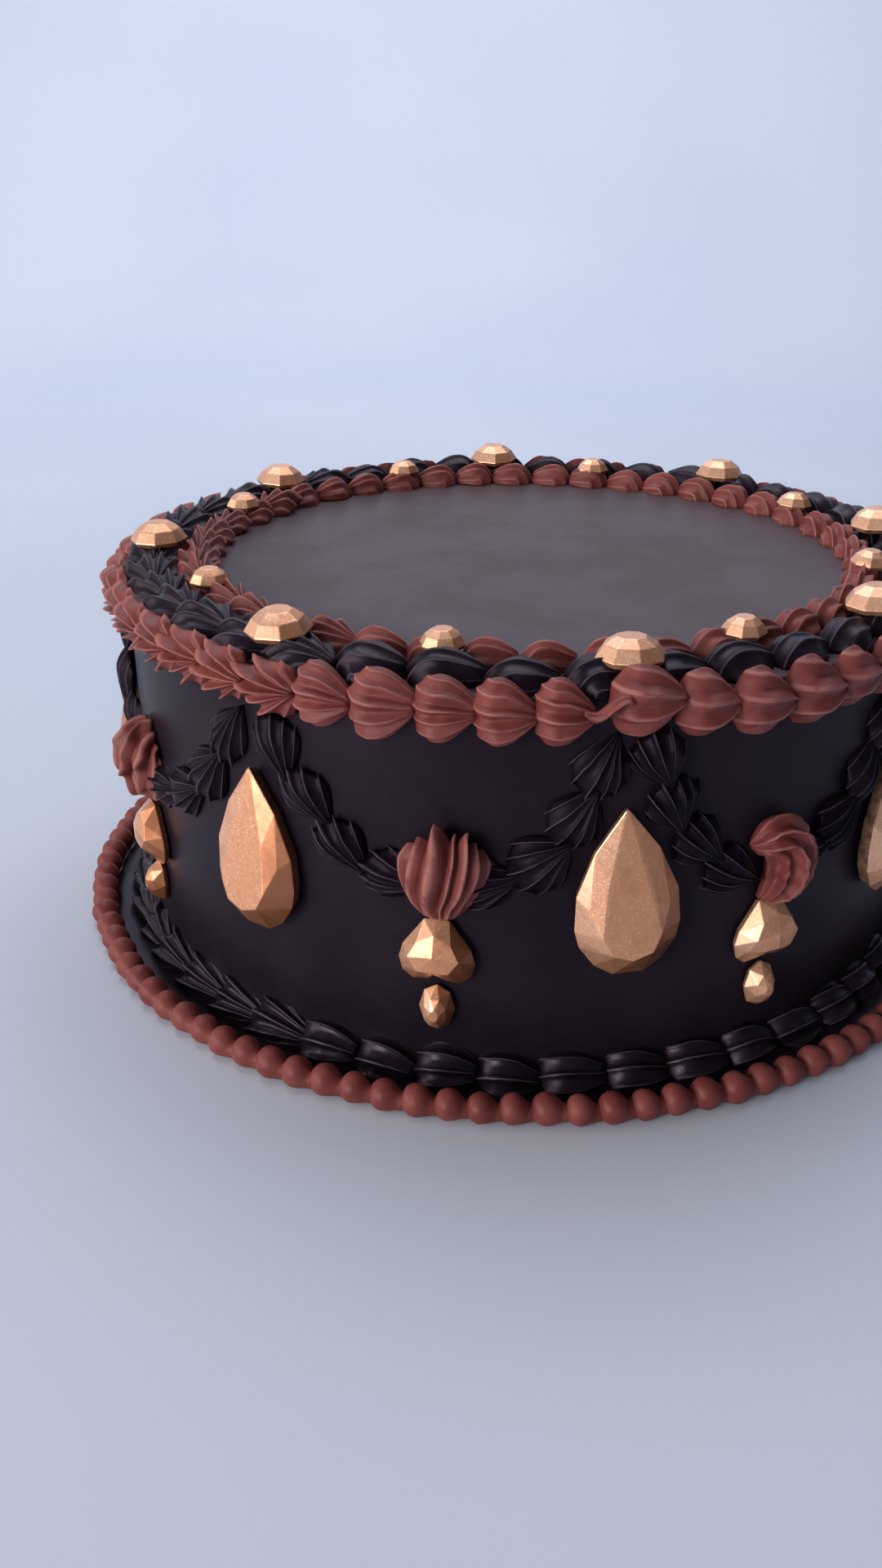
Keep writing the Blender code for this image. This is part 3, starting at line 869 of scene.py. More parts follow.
def smooth_curve(knots: Points, values: Points, share: Points) -> Points:
    """Reads a smooth curve through a few values.

    Args:
        knots: Where the values stand, rising.
        values: The values.
        share: Where the curve is read.

    Returns:
        The curve's value at each place.
    """
    slopes = np.gradient(values, knots)
    index = np.clip(np.searchsorted(knots, share, side="right") - 1, 0, len(knots) - 2)
    gap = knots[index + 1] - knots[index]
    t = (share - knots[index]) / gap
    near, far = values[index], values[index + 1]
    return (
        (2 * t**3 - 3 * t**2 + 1) * near + (t**3 - 2 * t**2 + t) * gap * slopes[index]
        + (3 * t**2 - 2 * t**3) * far + (t**3 - t**2) * gap * slopes[index + 1]
    )


@dataclass(frozen=True)
class Pearl:
    """One small round bead, drawn out to a neck that runs into the next, flat where it stands."""

    radius: float
    centre: float
    sides: int = 16
    outline: Edge = (
        (-0.86, 0.30), (-0.76, 0.58), (-0.55, 0.82), (-0.28, 0.96), (0.02, 1.0), (0.32, 0.95),
        (0.58, 0.82), (0.80, 0.68), (0.94, 0.60), (1.10, 0.57), (1.35, 0.54), (1.55, 0.40),
    )
    sag: float = 0.28
    rough: float = 0.14 * MM

    def mesh(self, name: str, seed: int) -> bpy.types.Mesh:
        """Builds the bead: X runs to its tail and Z up.

        Args:
            name: The mesh's name.
            seed: Sets the bead's own unevenness.

        Returns:
            The mesh.
        """
        rng = np.random.default_rng(seed)
        along, size = (np.array(values) * self.radius for values in zip(*self.outline))
        sag = np.clip((along / self.radius - 0.4) / 0.6, 0, 1) * self.sag * self.centre
        turn = math.tau * np.arange(self.sides) / self.sides
        y = size[:, None] * np.cos(turn)
        z = size[:, None] * np.sin(turn) + (self.centre - sag)[:, None]
        grid = np.stack([np.broadcast_to(along[:, None], y.shape), y, z], axis=-1).reshape(-1, 3)
        poles = np.array([
            [along[0] - 0.04 * self.radius, 0, self.centre],
            [along[-1] + 0.05 * self.radius, 0, self.centre - sag[-1]],
        ])
        points = np.vstack([grid, poles])
        points = points + wobble(points, self.rough, 6 * MM, rng)
        points[:, 2] = np.maximum(points[:, 2], 0)
        return make_mesh(name, points, tube_faces(len(along), self.sides), np.full(len(points), 0.2))


# Rows of pieces, piped by Geometry Nodes.


@dataclass(frozen=True)
class Spot:
    """Where one piece of a row goes, how it is turned and sized, and which kind it is."""

    point: Vector
    turn: Matrix
    size: tuple[float, float, float] = (1.0, 1.0, 1.0)
    kind: int = 0


class PipingTree:
    """The Geometry Nodes that set one piece of a collection at every point of a row."""

    def __init__(self) -> None:
        """Builds the tree with its named inputs."""
        tree = bpy.data.node_groups.new("piping", "GeometryNodeTree")
        takes = (
            ("Row", "NodeSocketGeometry"), ("Pieces", "NodeSocketCollection"),
            ("Icing", "NodeSocketMaterial"), ("Sway", "NodeSocketFloat"), ("Swell", "NodeSocketFloat"),
            ("Seed", "NodeSocketInt"),
        )
        for title, kind in takes:
            tree.interface.new_socket(title, in_out="INPUT", socket_type=kind)
        tree.interface.new_socket("Piped", in_out="OUTPUT", socket_type="NodeSocketGeometry")
        self.tree = tree
        self.wire(Graph(tree))

    @staticmethod
    def wire(graph: Graph) -> None:
        """Adds the nodes from the row's points to the piped mesh."""
        start, end = graph.add("NodeGroupInput"), graph.add("NodeGroupOutput")
        seed, most = start.outputs["Seed"], start.outputs["Sway"]
        read = {}
        for title, kind in (("turn", "FLOAT_VECTOR"), ("size", "FLOAT_VECTOR"), ("kind", "INT")):
            node = graph.add("GeometryNodeInputNamedAttribute", {"Name": title}, data_type=kind)
            read[title] = node.outputs[0]
        least = graph.maths("MULTIPLY", most, -1.0)
        ends = [graph.add("ShaderNodeCombineXYZ", {0: v, 1: v, 2: v}).outputs[0] for v in (least, most)]
        sway = graph.add("FunctionNodeRandomValue", {"Min": ends[0], "Max": ends[1], "Seed": seed},
                         data_type="FLOAT_VECTOR")
        tilt = graph.add("FunctionNodeEulerToRotation", {0: sway.outputs[0]}).outputs[0]
        turn = graph.add("FunctionNodeEulerToRotation", {0: read["turn"]}).outputs[0]
        turn = graph.add("FunctionNodeRotateRotation", {0: turn, 1: tilt}, rotation_space="LOCAL")
        small = graph.maths("SUBTRACT", 1.0, start.outputs["Swell"])
        large = graph.maths("ADD", 1.0, start.outputs["Swell"])
        swell = graph.add("FunctionNodeRandomValue", {2: small, 3: large, "Seed": seed}, data_type="FLOAT")
        sized = {0: read["size"], "Scale": swell.outputs[1]}
        size = graph.add("ShaderNodeVectorMath", sized, operation="SCALE")
        pieces = graph.add("GeometryNodeCollectionInfo", {0: start.outputs["Pieces"], 1: True, 2: True})
        placed = graph.add("GeometryNodeInstanceOnPoints", {
            "Points": start.outputs["Row"], "Instance": pieces.outputs[0], "Pick Instance": True,
            "Instance Index": read["kind"], "Rotation": turn.outputs[0], "Scale": size.outputs[0],
        })
        real = graph.add("GeometryNodeRealizeInstances", {0: placed.outputs[0]}).outputs[0]
        iced = graph.add("GeometryNodeSetMaterial", {"Geometry": real, "Material": start.outputs["Icing"]})
        graph.feed(end.inputs[0], iced.outputs[0])

    def pipe(
        self, name: str, spots: Sequence[Spot], pieces: Sequence[bpy.types.Mesh],
        icing: bpy.types.Material, sway: float = 0.0, swell: float = 0.0, seed: int = 1,
    ) -> bpy.types.Object:
        """Pipes one row and gives it as a plain mesh object at the origin.

        Args:
            name: The finished object's name.
            spots: The places in the row.
            pieces: The kinds of piece, in the order that the spots number them.
            icing: The material.
            sway: How far, in radians, each piece may be turned off its place.
            swell: How far each piece's size may vary, as a share.
            seed: Sets the turns and sizes.

        Returns:
            The object.
        """
        stock = bpy.data.collections.new(f"{name}_pieces")
        for number, mesh in enumerate(pieces):
            stock.objects.link(bpy.data.objects.new(f"{name}_{number:02d}", mesh))
        row = bpy.data.meshes.new(f"{name}_row")
        row.from_pydata([tuple(spot.point) for spot in spots], [], [])
        turns = np.array([tuple(spot.turn.to_euler()) for spot in spots], np.float32)
        sizes = np.array([spot.size for spot in spots], np.float32)
        for title, values in (("turn", turns), ("size", sizes)):
            row.attributes.new(title, "FLOAT_VECTOR", "POINT").data.foreach_set("vector", values.ravel())
        row.attributes.new("kind", "INT", "POINT").data.foreach_set("value", [s.kind for s in spots])
        source = new_object(f"{name}_source", row)
        modifier = source.modifiers.new("piping", "NODES")
        modifier.node_group = self.tree
        values = {"Pieces": stock, "Icing": icing, "Sway": sway, "Swell": swell, "Seed": seed}
        for item in self.tree.interface.items_tree:
            if item.name in values:
                modifier[item.identifier] = values[item.name]
        graph = bpy.context.evaluated_depsgraph_get()
        mesh = bpy.data.meshes.new_from_object(source.evaluated_get(graph))
        mesh.name = name
        for title in ("turn", "size", "kind"):
            if title in mesh.attributes:
                mesh.attributes.remove(mesh.attributes[title])
        source.modifiers.remove(modifier)
        for spare in [source, *stock.objects]:
            bpy.data.objects.remove(spare)
        bpy.data.collections.remove(stock)
        return new_object(name, mesh)


# The cake's sub-assemblies.


@dataclass
class CakeBody:
    """The coated cake: a smooth cylinder with a softened top edge."""

    edge: float = 2.2 * MM
    foot_edge: float = 0.3 * MM
    sides: int = 240
    unevenness: float = 0.12 * MM

    @cached_property
    def radius(self) -> float:
        """The radius of the coat, from the frame."""
        low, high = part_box("cake")
        return (high.x - low.x) / 2

    @cached_property
    def height(self) -> float:
        """The height of the coat's flat top, from the frame."""
        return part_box("cake")[1].z

    def profile(self) -> list[tuple[float, float]]:
        """Gives the half outline, from the middle of the underside to the middle of the top."""
        wall_rows, turn_rows, top_rows, margin = 40, 8, 30, 1 * MM
        low = [
            (0.0, 0.0), (self.radius * 0.5, 0.0),
            (self.radius - self.foot_edge, 0.0), (self.radius, self.foot_edge),
        ]
        wall = [(self.radius, z) for z in np.linspace(margin, self.height - self.edge, wall_rows)]
        turn = [
            (self.radius - self.edge * (1 - math.cos(a)), self.height - self.edge * (1 - math.sin(a)))
            for a in np.linspace(0, math.pi / 2, turn_rows)[1:]
        ]
        top = [(r, self.height) for r in np.linspace(self.radius - self.edge - margin, 0.0, top_rows)]
        return low + wall + turn + top

    def mesh(self) -> bpy.types.Mesh:
        """Turns the outline round the axis, and lets the coat be a little uneven.

        Returns:
            The coat's mesh.
        """
        rings = self.profile()[1:-1]
        points, faces = [], []
        for radius, z in rings:
            on_wall = radius > 0.9 * self.radius
            for side in range(self.sides):
                angle = math.tau * side / self.sides
                points.append(ring_point(angle, radius + self.uneven_by(angle, z) * on_wall, z))
        for ring in range(len(rings) - 1):
            for side in range(self.sides):
                after = (side + 1) % self.sides
                first, second = ring * self.sides, (ring + 1) * self.sides
                faces.append((first + side, first + after, second + after, second + side))
        points += [Vector((0, 0, 0)), Vector((0, 0, self.height))]
        last = (len(rings) - 1) * self.sides
        for side in range(self.sides):
            after = (side + 1) % self.sides
            faces.append((after, side, len(points) - 2))
            faces.append((last + side, last + after, len(points) - 1))
        return make_mesh("cake_coat", np.array([tuple(p) for p in points]), faces, np.zeros(len(points)))

    def uneven_by(self, angle: float, z: float) -> float:
        """Gives how far the wall stands off its true radius there."""
        wave = math.sin(3 * angle + 60 * z + 1.0) + 0.6 * math.sin(7 * angle - 90 * z + 2.0)
        return -self.unevenness * 0.5 * (1 + 0.6 * wave) * min(1.0, z / (10 * MM))

    def build(self, finish: CoatFinish, shades: Shades) -> bpy.types.Object:
        """Builds the coat and dresses it."""
        coat = new_object("cake_coat", self.mesh())
        coat.data.materials.append(finish.material(shades))
        return settle(coat, "dark_icing", ["cake"])


@dataclass(frozen=True)
class Stretch:
    """A part of a border, between two angles, that came out of the bag in one way."""

    form: Shell
    start_deg: float = -180.0
    end_deg: float = 180.0
    reach: float = 1.0

    def covers(self, angle: float) -> bool:
        """Tells whether the angle, in radians, lies in this stretch."""
        degrees = (math.degrees(angle) + 180) % 360 - 180
        return self.start_deg <= degrees <= self.end_deg


@dataclass(frozen=True)
class Border:
    """A row of shells right round the cake, laid out as the CAD border is."""

    name: str
    node: str
    slot: str
    shells: int
    start_deg: float
    length_spread: float
    size_spread: float
    salt: int
    stretches: tuple[Stretch, ...] = ()
    ends: tuple[float, float] = (0.0, 0.0)
    overlap: float = 1.08
    gap_deg: float = 0.0
    sway: float = 0.05
    kinds: int = 5

    def spans(self) -> list[tuple[float, float]]:
        """Gives the start and the length of each shell, in radians, all round but for the gap."""
        shares, first_fade, last_fade = [], 8.0, 1.5
        for index in range(self.shells):
            share = 1 + self.length_spread * (2 * uneven(index, self.shells) - 1)
            share += self.ends[0] * math.exp(-index / first_fade)
            share -= self.ends[1] * math.exp(-(self.shells - 1 - index) / last_fade)
            shares.append(share)
        spans, start = [], math.radians(self.start_deg + self.gap_deg / 2)
        for share in shares:
            length = math.radians(360 - self.gap_deg) * share / sum(shares)
            spans.append((start, length))
            start += length
        return spans

    def meshes(self) -> list[bpy.types.Mesh]:
        """Builds the kinds of shell that the row picks from, stretch by stretch."""
        return [
            stretch.form.mesh(f"{self.name}_shell", 100 * self.salt + 10 * number + kind)
            for number, stretch in enumerate(self.stretches)
            for kind in range(self.kinds)
        ]

    def spots(self, seat: Seat) -> list[Spot]:
        """Places every shell.

        Args:
            seat: Gives, for an angle, the seat's point, its outward direction and its radius.

        Returns:
            One spot for each shell.
        """
        spots = []
        for index, (start, length) in enumerate(self.spans()):
            middle = start + length * 0.5
            point, out, radius = seat(middle)
            along = Vector((math.cos(middle), math.sin(middle), 0))
            stretch = max(n for n, part in enumerate(self.stretches) if part.covers(middle))
            reach = radius * length * self.overlap * self.stretches[stretch].reach
            size = 1 - self.size_spread * uneven(index, self.salt)
            form = self.stretches[stretch].form
            pick = int(uneven(index, self.salt + 0.37) * self.kinds) % self.kinds
            scale = (reach / form.length, size, size)
            root = point - along * (reach * 0.5)
            spots.append(Spot(root, axes(along, out), scale, stretch * self.kinds + pick))
        return spots


@dataclass
class Borders:
    """The five borders that run right round: three at the top and two at the foot."""

    piping: PipingTree
    icings: Mapping[str, bpy.types.Material]
    body: CakeBody
    inner_radius: float = 85.7 * MM
    dark_radius: float = 96.9 * MM
    outer_z: float = 88.2 * MM
    joint_deg: float = 4.0
    joint_spread_deg: float = 7.0
    joint_rise: float = 3.2 * MM
    pearl_radius: float = 117.9 * MM
    sunk: float = 0.25 * MM
    joint_curl: Curl = Curl(
        inner=(
            (-4.4, 0.4), (-3.2, 0.2), (-2.0, 0.3), (-0.8, 1.2),
            (0.8, 2.5), (2.6, 3.3), (4.3, 3.2), (5.6, 1.6),
        ),
        outer=(
            (-4.6, -0.8), (-3.4, -1.7), (-2.2, -2.3), (-0.6, -1.7),
            (1.0, -0.4), (2.4, 0.7), (3.8, 1.2), (4.6, 0.5),
        ),
        height=3.2 * MM, ridges=3, rough=0.15 * MM,
    )
    joint_depth: float = 4.0 * MM
    foot_slope_deg: float = 43.0
    foot_radius: float = 115.2 * MM

    def on_top(self, radius: float) -> Seat:
        """Gives the seat of a border on the cake's flat top."""
        z = self.body.height - self.sunk
        return lambda angle: (ring_point(angle, radius, z), UP, radius)

    def on_wall(self, angle: float) -> tuple[Vector, Vector, float]:
        """Gives the seat of the outer border, which climbs where its two ends meet."""
        radius = self.body.radius - self.sunk
        point = ring_point(angle, radius, self.outer_centre(angle))
        return point, ring_point(angle, 1, 0), radius + 3 * MM

    def in_corner(self, angle: float) -> tuple[Vector, Vector, float]:
        """Gives the seat of the foot border, which leans out of the corner."""
        slope = math.radians(self.foot_slope_deg)
        out = ring_point(angle, math.cos(slope), math.sin(slope))
        return ring_point(angle, self.body.radius, 0), out, self.body.radius + 3 * MM

    def outer_centre(self, angle: float) -> float:
        """Gives the height of the outer border's middle at that angle."""
        away = (math.degrees(angle) - self.joint_deg + 180) % 360 - 180
        return self.outer_z + self.joint_rise * math.exp(-((away / self.joint_spread_deg) ** 2))

    def inner(self) -> Border:
        """Describes the milk border on the inside of the top."""
        form = Shell(12.6 * MM, 5.3 * MM, 6.9 * MM, ridges=5, groove=0.26, blunt=0.42, lip=0.04,
                     crisp=1.6, tail=0.14, tail_height=0.45, rows=18)
        star = replace(form, ridges=6, groove=0.36, lip=0.2, crisp=1.8, edge_fade=0.1, open_end=0.4,
                       fan_deg=60, fan_flank=0.5, tail=0.12)
        return Border(
            name="inner_border", node="inner_top_border", slot="milk_piping", shells=44,
            start_deg=-1.0, length_spread=0.05, size_spread=0.1, salt=0,
            stretches=(Stretch(form), Stretch(star, -130, -32)),
        )

    def dark(self) -> Border:
        """Describes the dark border on the top, which the large gems sit on."""
        form = Shell(16.8 * MM, 6.9 * MM, 7.4 * MM, ridges=5, groove=0.15, blunt=0.42, nose=1.3, lip=0.0,
                     crisp=2.6, tail=0.08, tail_height=0.5, tail_power=1.1, ridge_spread=0.3,
                     rim_share=0.8, steps=10)
        leaf = replace(form, ridges=6, groove=0.3, lip=0.15, crisp=2.2, edge_fade=0.1, tail_height=0.5,
                       open_end=0.35, fan_deg=54, fan_flank=0.4)
        return Border(
            name="dark_border", node="dark_top_border", slot="dark_piping", shells=39,
            start_deg=-22.9, length_spread=0.06, size_spread=0.1, salt=1,
            stretches=(Stretch(form), Stretch(leaf, -150, -36)), overlap=1.1,
        )

    def outer(self) -> Border:
        """Describes the milk border on the side: broad at its start, then round, torn on the left."""
        form = Shell(14.2 * MM, 7.9 * MM, 7.9 * MM, ridges=6, groove=0.32, nose=0.75, lip=0.0, crisp=1.7,
                     tail_height=0.5, tail_power=1.1, rim_share=0.35, ridge_spread=0.3, sway=0.16)
        star = replace(form, length=9.7 * MM, height=7.3 * MM, ridges=7, groove=0.48, lip=0.24, crisp=1.9,
                       edge_fade=0.1, open_end=0.4, fan_deg=78, fan_flank=0.42, tail_height=0.62)
        broad = replace(form, half_width=7.4 * MM, height=7.4 * MM, ridges=4, groove=0.33, blunt=0.42,
                        crisp=1.3, steps=12, tail_power=1.1, tail_height=0.5, rim_share=0.2, nose=0.7)
        return Border(
            name="outer_border", node="outer_top_border", slot="milk_piping", shells=50,
            start_deg=0.0, length_spread=0.05, size_spread=0.1, salt=2,
            stretches=(Stretch(form), Stretch(star, -150, -32, 0.9), Stretch(broad, 0, 62)),
            ends=(0.0, 0.12), overlap=1.16, gap_deg=2.0,
        )

    def foot(self) -> Border:
        """Describes the dark border in the corner at the cake's foot."""
        form = Shell(14.6 * MM, 8.9 * MM, 7.8 * MM, ridges=7, groove=0.14, blunt=0.42, nose=0.7, lip=0.0,
                     crisp=3.0, tail_height=0.45, tail=0.35, rim_share=0.6)
        leaf = replace(form, ridges=7, groove=0.28, lip=0.15, crisp=2.2, edge_fade=0.1, open_end=0.35,
                       fan_deg=58, fan_flank=0.4)
        return Border(
            name="foot_border", node="base_shell_border", slot="dark_piping", shells=46,
            start_deg=2.2, length_spread=0.06, size_spread=0.08, salt=3,
            stretches=(Stretch(form), Stretch(leaf, -150, -36)), overlap=1.16,
        )

    def build_shells(self, border: Border, seat: Seat, with_curl: bool = False) -> bpy.types.Object:
        """Pipes one border of shells and dresses it.

        Args:
            border: The border.
            seat: Gives its seat at an angle.
            with_curl: Whether a last curl of icing lies over the joint of its two ends.

        Returns:
            The border's object.
        """
        spots, meshes = border.spots(seat), border.meshes()
        if with_curl:
            point = ring_point(0, self.body.radius + self.joint_depth, self.outer_centre(0))
            spots.append(Spot(point, axes(DOWN, ring_point(0, 1, 0)), kind=len(meshes)))
            meshes.append(self.joint_curl.mesh("joint_curl", 250))
        icing = self.icings.get(border.name, self.icings[border.slot])
        row = self.piping.pipe(border.name, spots, meshes, icing, border.sway, 0.03, 11 + border.salt)
        return settle(row, border.slot, [border.node])

    def build_foot(self) -> bpy.types.Object:
        """Pipes the foot border and presses it flat against the wall and level with the cake's underside."""
        foot = self.build_shells(self.foot(), self.in_corner)
        points = np.empty(len(foot.data.vertices) * 3, np.float32)
        foot.data.vertices.foreach_get("co", points)
        points = points.reshape(-1, 3)
        points[:, 2] = np.maximum(points[:, 2], 0)
        away = np.hypot(points[:, 0], points[:, 1])
        points[:, :2] *= np.maximum(1, (self.body.radius - self.sunk) / away)[:, None]
        foot.data.vertices.foreach_set("co", points.ravel())
        film = self.foot_film()
        icing = foot.data.polygons[0].material_index
        film.polygons.foreach_set("material_index", [icing] * len(film.polygons))
        work = bmesh.new()
        work.from_mesh(foot.data)
        work.from_mesh(film)
        work.to_mesh(foot.data)
        work.free()
        return foot

    def foot_film(self) -> bpy.types.Mesh:
        """Builds the thin film of dark icing that joins the foot border's shells below.

        Returns:
            The film's mesh, a flat ring.
        """
        inner, outer, thick, sides = self.body.radius + 2 * MM, self.foot_radius, 0.8 * MM, 200
        line = [
            (inner, 0.0), (inner, thick),
            (outer - 1 * MM, thick), (outer - 0.3 * MM, thick * 0.7), (outer, 0.0),
        ]
        points, faces = [], []
        for side in range(sides):
            angle = math.tau * side / sides
            ripple = 0.35 * MM * math.sin(23 * angle) + 0.25 * MM * math.sin(41 * angle + 1)
            points += [tuple(ring_point(angle, r + ripple * (r > inner), z)) for r, z in line]
        for side in range(sides):
            for step in range(len(line)):
                near, far = side * len(line), (side + 1) % sides * len(line)
                after = (step + 1) % len(line)
                faces.append((near + step, near + after, far + after, far + step))
        return make_mesh("foot_film", np.array(points), faces, np.zeros(len(points)))

    def build_pearls(self) -> bpy.types.Object:
        """Pipes the ring of small beads round the cake's foot."""
        form = Pearl(3.6 * MM, 2.95 * MM)
        plan = Border(
            name="pearl_beads", node="pearl_border", slot="milk_piping", shells=104,
            start_deg=0.0, length_spread=0.03, size_spread=0.05, salt=4,
        )
        spots = []
        for index, (start, length) in enumerate(plan.spans()):
            angle = start + length * 0.5
            along = Vector((math.cos(angle), math.sin(angle), 0))
            size = 1.03 - 0.07 * uneven(index, 4)
            point = ring_point(angle, self.pearl_radius + 0.5 * MM * (uneven(index, 6) - 0.5), 0)
            spots.append(Spot(point, axes(along, UP), (size, size, size), index % plan.kinds))
        meshes = [form.mesh("pearl", 400 + kind) for kind in range(plan.kinds)]
        row = self.piping.pipe(plan.name, spots, meshes, self.icings[plan.slot], 0.0, 0.0, 15)
        return settle(row, plan.slot, [plan.node])

    def build(self) -> None:
        """Builds all five."""
        self.build_shells(self.inner(), self.on_top(self.inner_radius))
        self.build_shells(self.dark(), self.on_top(self.dark_radius))
        self.build_shells(self.outer(), self.on_wall, with_curl=True)
        self.build_foot()
        self.build_pearls()


@dataclass
class Garland:
    """Eight swags of dark shells, each from one teardrop's peak to the next."""

    piping: PipingTree
    icing: bpy.types.Material
    body: CakeBody
    borders: Borders
    low_z: float = 47.6 * MM
    power: float = 2.8
    under: float = 8.2 * MM
    peak_offset: float = 3.6 * MM
    neck: float = 4.0 * MM
    sunk: float = 0.1 * MM
    overlap: float = 1.2
    shells_a_side: int = 4
    kinds: int = 8
    form: Shell = Shell(
        14.0 * MM, 6.8 * MM, 4.8 * MM, ridges=6, groove=0.24, tail=0.05, lip=0.1, crisp=2.6, tail_height=0.5,
        ridge_spread=0.3, edge_fade=0.15, open_end=0.35, fan_deg=42, fan_flank=0.3, sway=0.2, rough=0.12 * MM,
        rows=12, steps=8,
    )

    def side(self, reach: float, top: float) -> Points:
        """Gives one side of a swag as (along, height) points, from its valley up to its peak.

        Args:
            reach: The length along the wall.
            top: The height of the end.

        Returns:
            The points, one a row.
        """
        share = np.linspace(0, 1, 300)
        return np.stack([reach * share, self.low_z + (top - self.low_z) * share**self.power], axis=1)

    def spots(self) -> list[Spot]:
        """Places the shells of all eight swags."""
        peaks = [node_angle(f"teardrop_gem_{i + 1}") for i in range(SECTORS)]
        valleys = [node_angle(f"rosette_{i + 1}") for i in range(SECTORS)]
        spots: list[Spot] = []
        for index, valley in enumerate(valleys):
            for way, peak in ((-1, peaks[index]), (1, peaks[(index + 1) % SECTORS])):
                turn = abs((peak - valley + math.pi) % math.tau - math.pi)
                reach = turn * self.body.radius - self.peak_offset
                top = self.borders.outer_centre(peak) - self.under
                spots += self.side_spots(self.side(reach, top), way, valley, 20 * index + 5 * way)
        return spots

    def side_spots(self, side: Points, way: int, valley: float, salt: int) -> list[Spot]:
        """Places the shells of one side, with every tail towards the right.

        Args:
            side: The side's points, from the valley up.
            way: -1 for the side left of the valley, 1 for the one right of it.
            valley: The valley's angle.
            salt: Sets the side's own unevenness.

        Returns:
            One spot for each shell.
        """
        steps = np.linalg.norm(np.diff(side, axis=0), axis=1)
        walked = np.append(0, np.cumsum(steps))
        pitch = (walked[-1] - self.neck) / self.shells_a_side
        seat = self.body.radius - self.sunk
        spots = []
        for number in range(self.shells_a_side):
            near = self.neck + pitch * number
            ends = [
                np.array([np.interp(place, walked, side[:, k]) for k in (0, 1)])
                for place in (near, near + pitch)
            ]
            if way < 0:
                ends.reverse()
            (a, low), (b, high) = ends
            first, last = valley + way * a / self.body.radius, valley + way * b / self.body.radius
            start, stop = ring_point(first, seat, low), ring_point(last, seat, high)
            along = stop - start
            out = ring_point((first + last) / 2, 1, 0)
            along_wall = (along - out * along.dot(out)).normalized()
            reach = along.length * self.overlap
            size = 1.04 - 0.14 * uneven(number, salt)
            origin = (start + stop) / 2 - along_wall * (reach * 0.5)
            kind = int(uneven(number, salt + 0.5) * self.kinds) % self.kinds
            spots.append(Spot(origin, axes(along_wall, out), (reach / self.form.length, size, size), kind))
        return spots

    def build(self) -> bpy.types.Object:
        """Pipes the garland and dresses it."""
        meshes = [self.form.mesh("garland_shell", 500 + kind) for kind in range(self.kinds)]
        row = self.piping.pipe("garland_shells", self.spots(), meshes, self.icing, 0.12, 0.05, 21)
        return settle(row, "dark_piping", ["garland"])


class RosetteStyle(Enum):
    """How a rosette came out of the piping bag."""

    FAN = "open fan with torn tips"
    CURL = "strand curled over to the left"
    RUMPLED = "fan that folded on itself"


@dataclass
class Rosettes:
    """One large upright piece of milk piping at each valley of the garland."""

    piping: PipingTree
    icing: bpy.types.Material
    body: CakeBody
    top_z: float = 63.4 * MM
    low_z: float = 41.0 * MM
    lift: float = 0.2 * MM
    styles: tuple[RosetteStyle, ...] = (
        RosetteStyle.CURL, RosetteStyle.FAN, RosetteStyle.RUMPLED, RosetteStyle.CURL,
        RosetteStyle.FAN, RosetteStyle.CURL, RosetteStyle.RUMPLED, RosetteStyle.FAN,
    )

    def curl(self) -> Curl:
        """Describes the strand that curled over, its root at the fans' lower end."""
        outer = (
            (0.7, 0.2), (5.9, 1.6), (9.2, 6.2), (9.9, 12.4),
            (7.6, 18.0), (3.2, 20.8), (-1.7, 20.0), (-5.3, 15.8),
        )
        inner = (
            (-1.8, 0.2), (-2.0, 3.2), (-2.1, 6.0), (-2.2, 8.4),
            (-2.4, 10.0), (-2.8, 10.9), (-3.4, 11.2), (-4.4, 11.0),
        )
        tall = (self.top_z - self.low_z) / MM
        outer, inner = (tuple((x, y - tall) for x, y in edge) for edge in (outer, inner))
        return Curl(inner, outer, 10.0 * MM, ridges=5, groove=0.34)

    def fan(self, rumpled: bool) -> Shell:
        """Describes the open fan, or the narrower and lumpier one that folded on itself."""
        form = Shell(
            self.top_z - self.low_z, 10.6 * MM, 10.6 * MM, ridges=7, groove=0.34, blunt=0.36, nose=0.75,
            tail=0.3, tail_power=0.8, lip=0.22, crisp=0.62, ridge_spread=0.5, edge_fade=0.4, rim_share=1.0,
            open_end=0.45, pinch=0.22, sway=0.1, bend=0.05, twist=0.12, rough=0.6 * MM, rows=36, steps=10,
        )
        if not rumpled:
            return form
        return replace(form, half_width=9.4 * MM, height=10.2 * MM, ridges=5, groove=0.4, lip=0.15,
                       open_end=0.0, rough=1.6 * MM, crisp=0.7)

    def mesh(self, style: RosetteStyle, seed: int) -> bpy.types.Mesh:
        """Builds one rosette, X down and Z away from the wall.

        Args:
            style: How it was piped.
            seed: Sets its own unevenness.

        Returns:
            The mesh. Its top is at X = 0.
        """
        if style is RosetteStyle.CURL:
            return self.curl().mesh("curl", seed)
        return self.fan(style is RosetteStyle.RUMPLED).mesh("rosette", seed)

    def build(self) -> bpy.types.Object:
        """Sets the eight rosettes on the wall and dresses them."""
        spots, meshes = [], []
        for index, style in enumerate(self.styles):
            angle = node_angle(f"rosette_{index + 1}")
            point = ring_point(angle, self.body.radius + self.lift, self.top_z)
            spots.append(Spot(point, axes(DOWN, ring_point(angle, 1, 0)), kind=index))
            meshes.append(self.mesh(style, 600 + index))
        rosettes = self.piping.pipe("rosettes", spots, meshes, self.icing, 0.0, 0.0, 31)
        return settle(rosettes, "milk_piping", [f"rosette_{i + 1}" for i in range(SECTORS)])


@dataclass(frozen=True)
class GemKind:
    """One kind of gem, and whether it sits on the wall or on top."""

    name: str
    node: str
    on_wall: bool
    bevel: float

    @property
    def bare_below(self) -> float:
        """How far out a facet has to face to take any dust."""
        return 0.35 if self.on_wall else -0.05


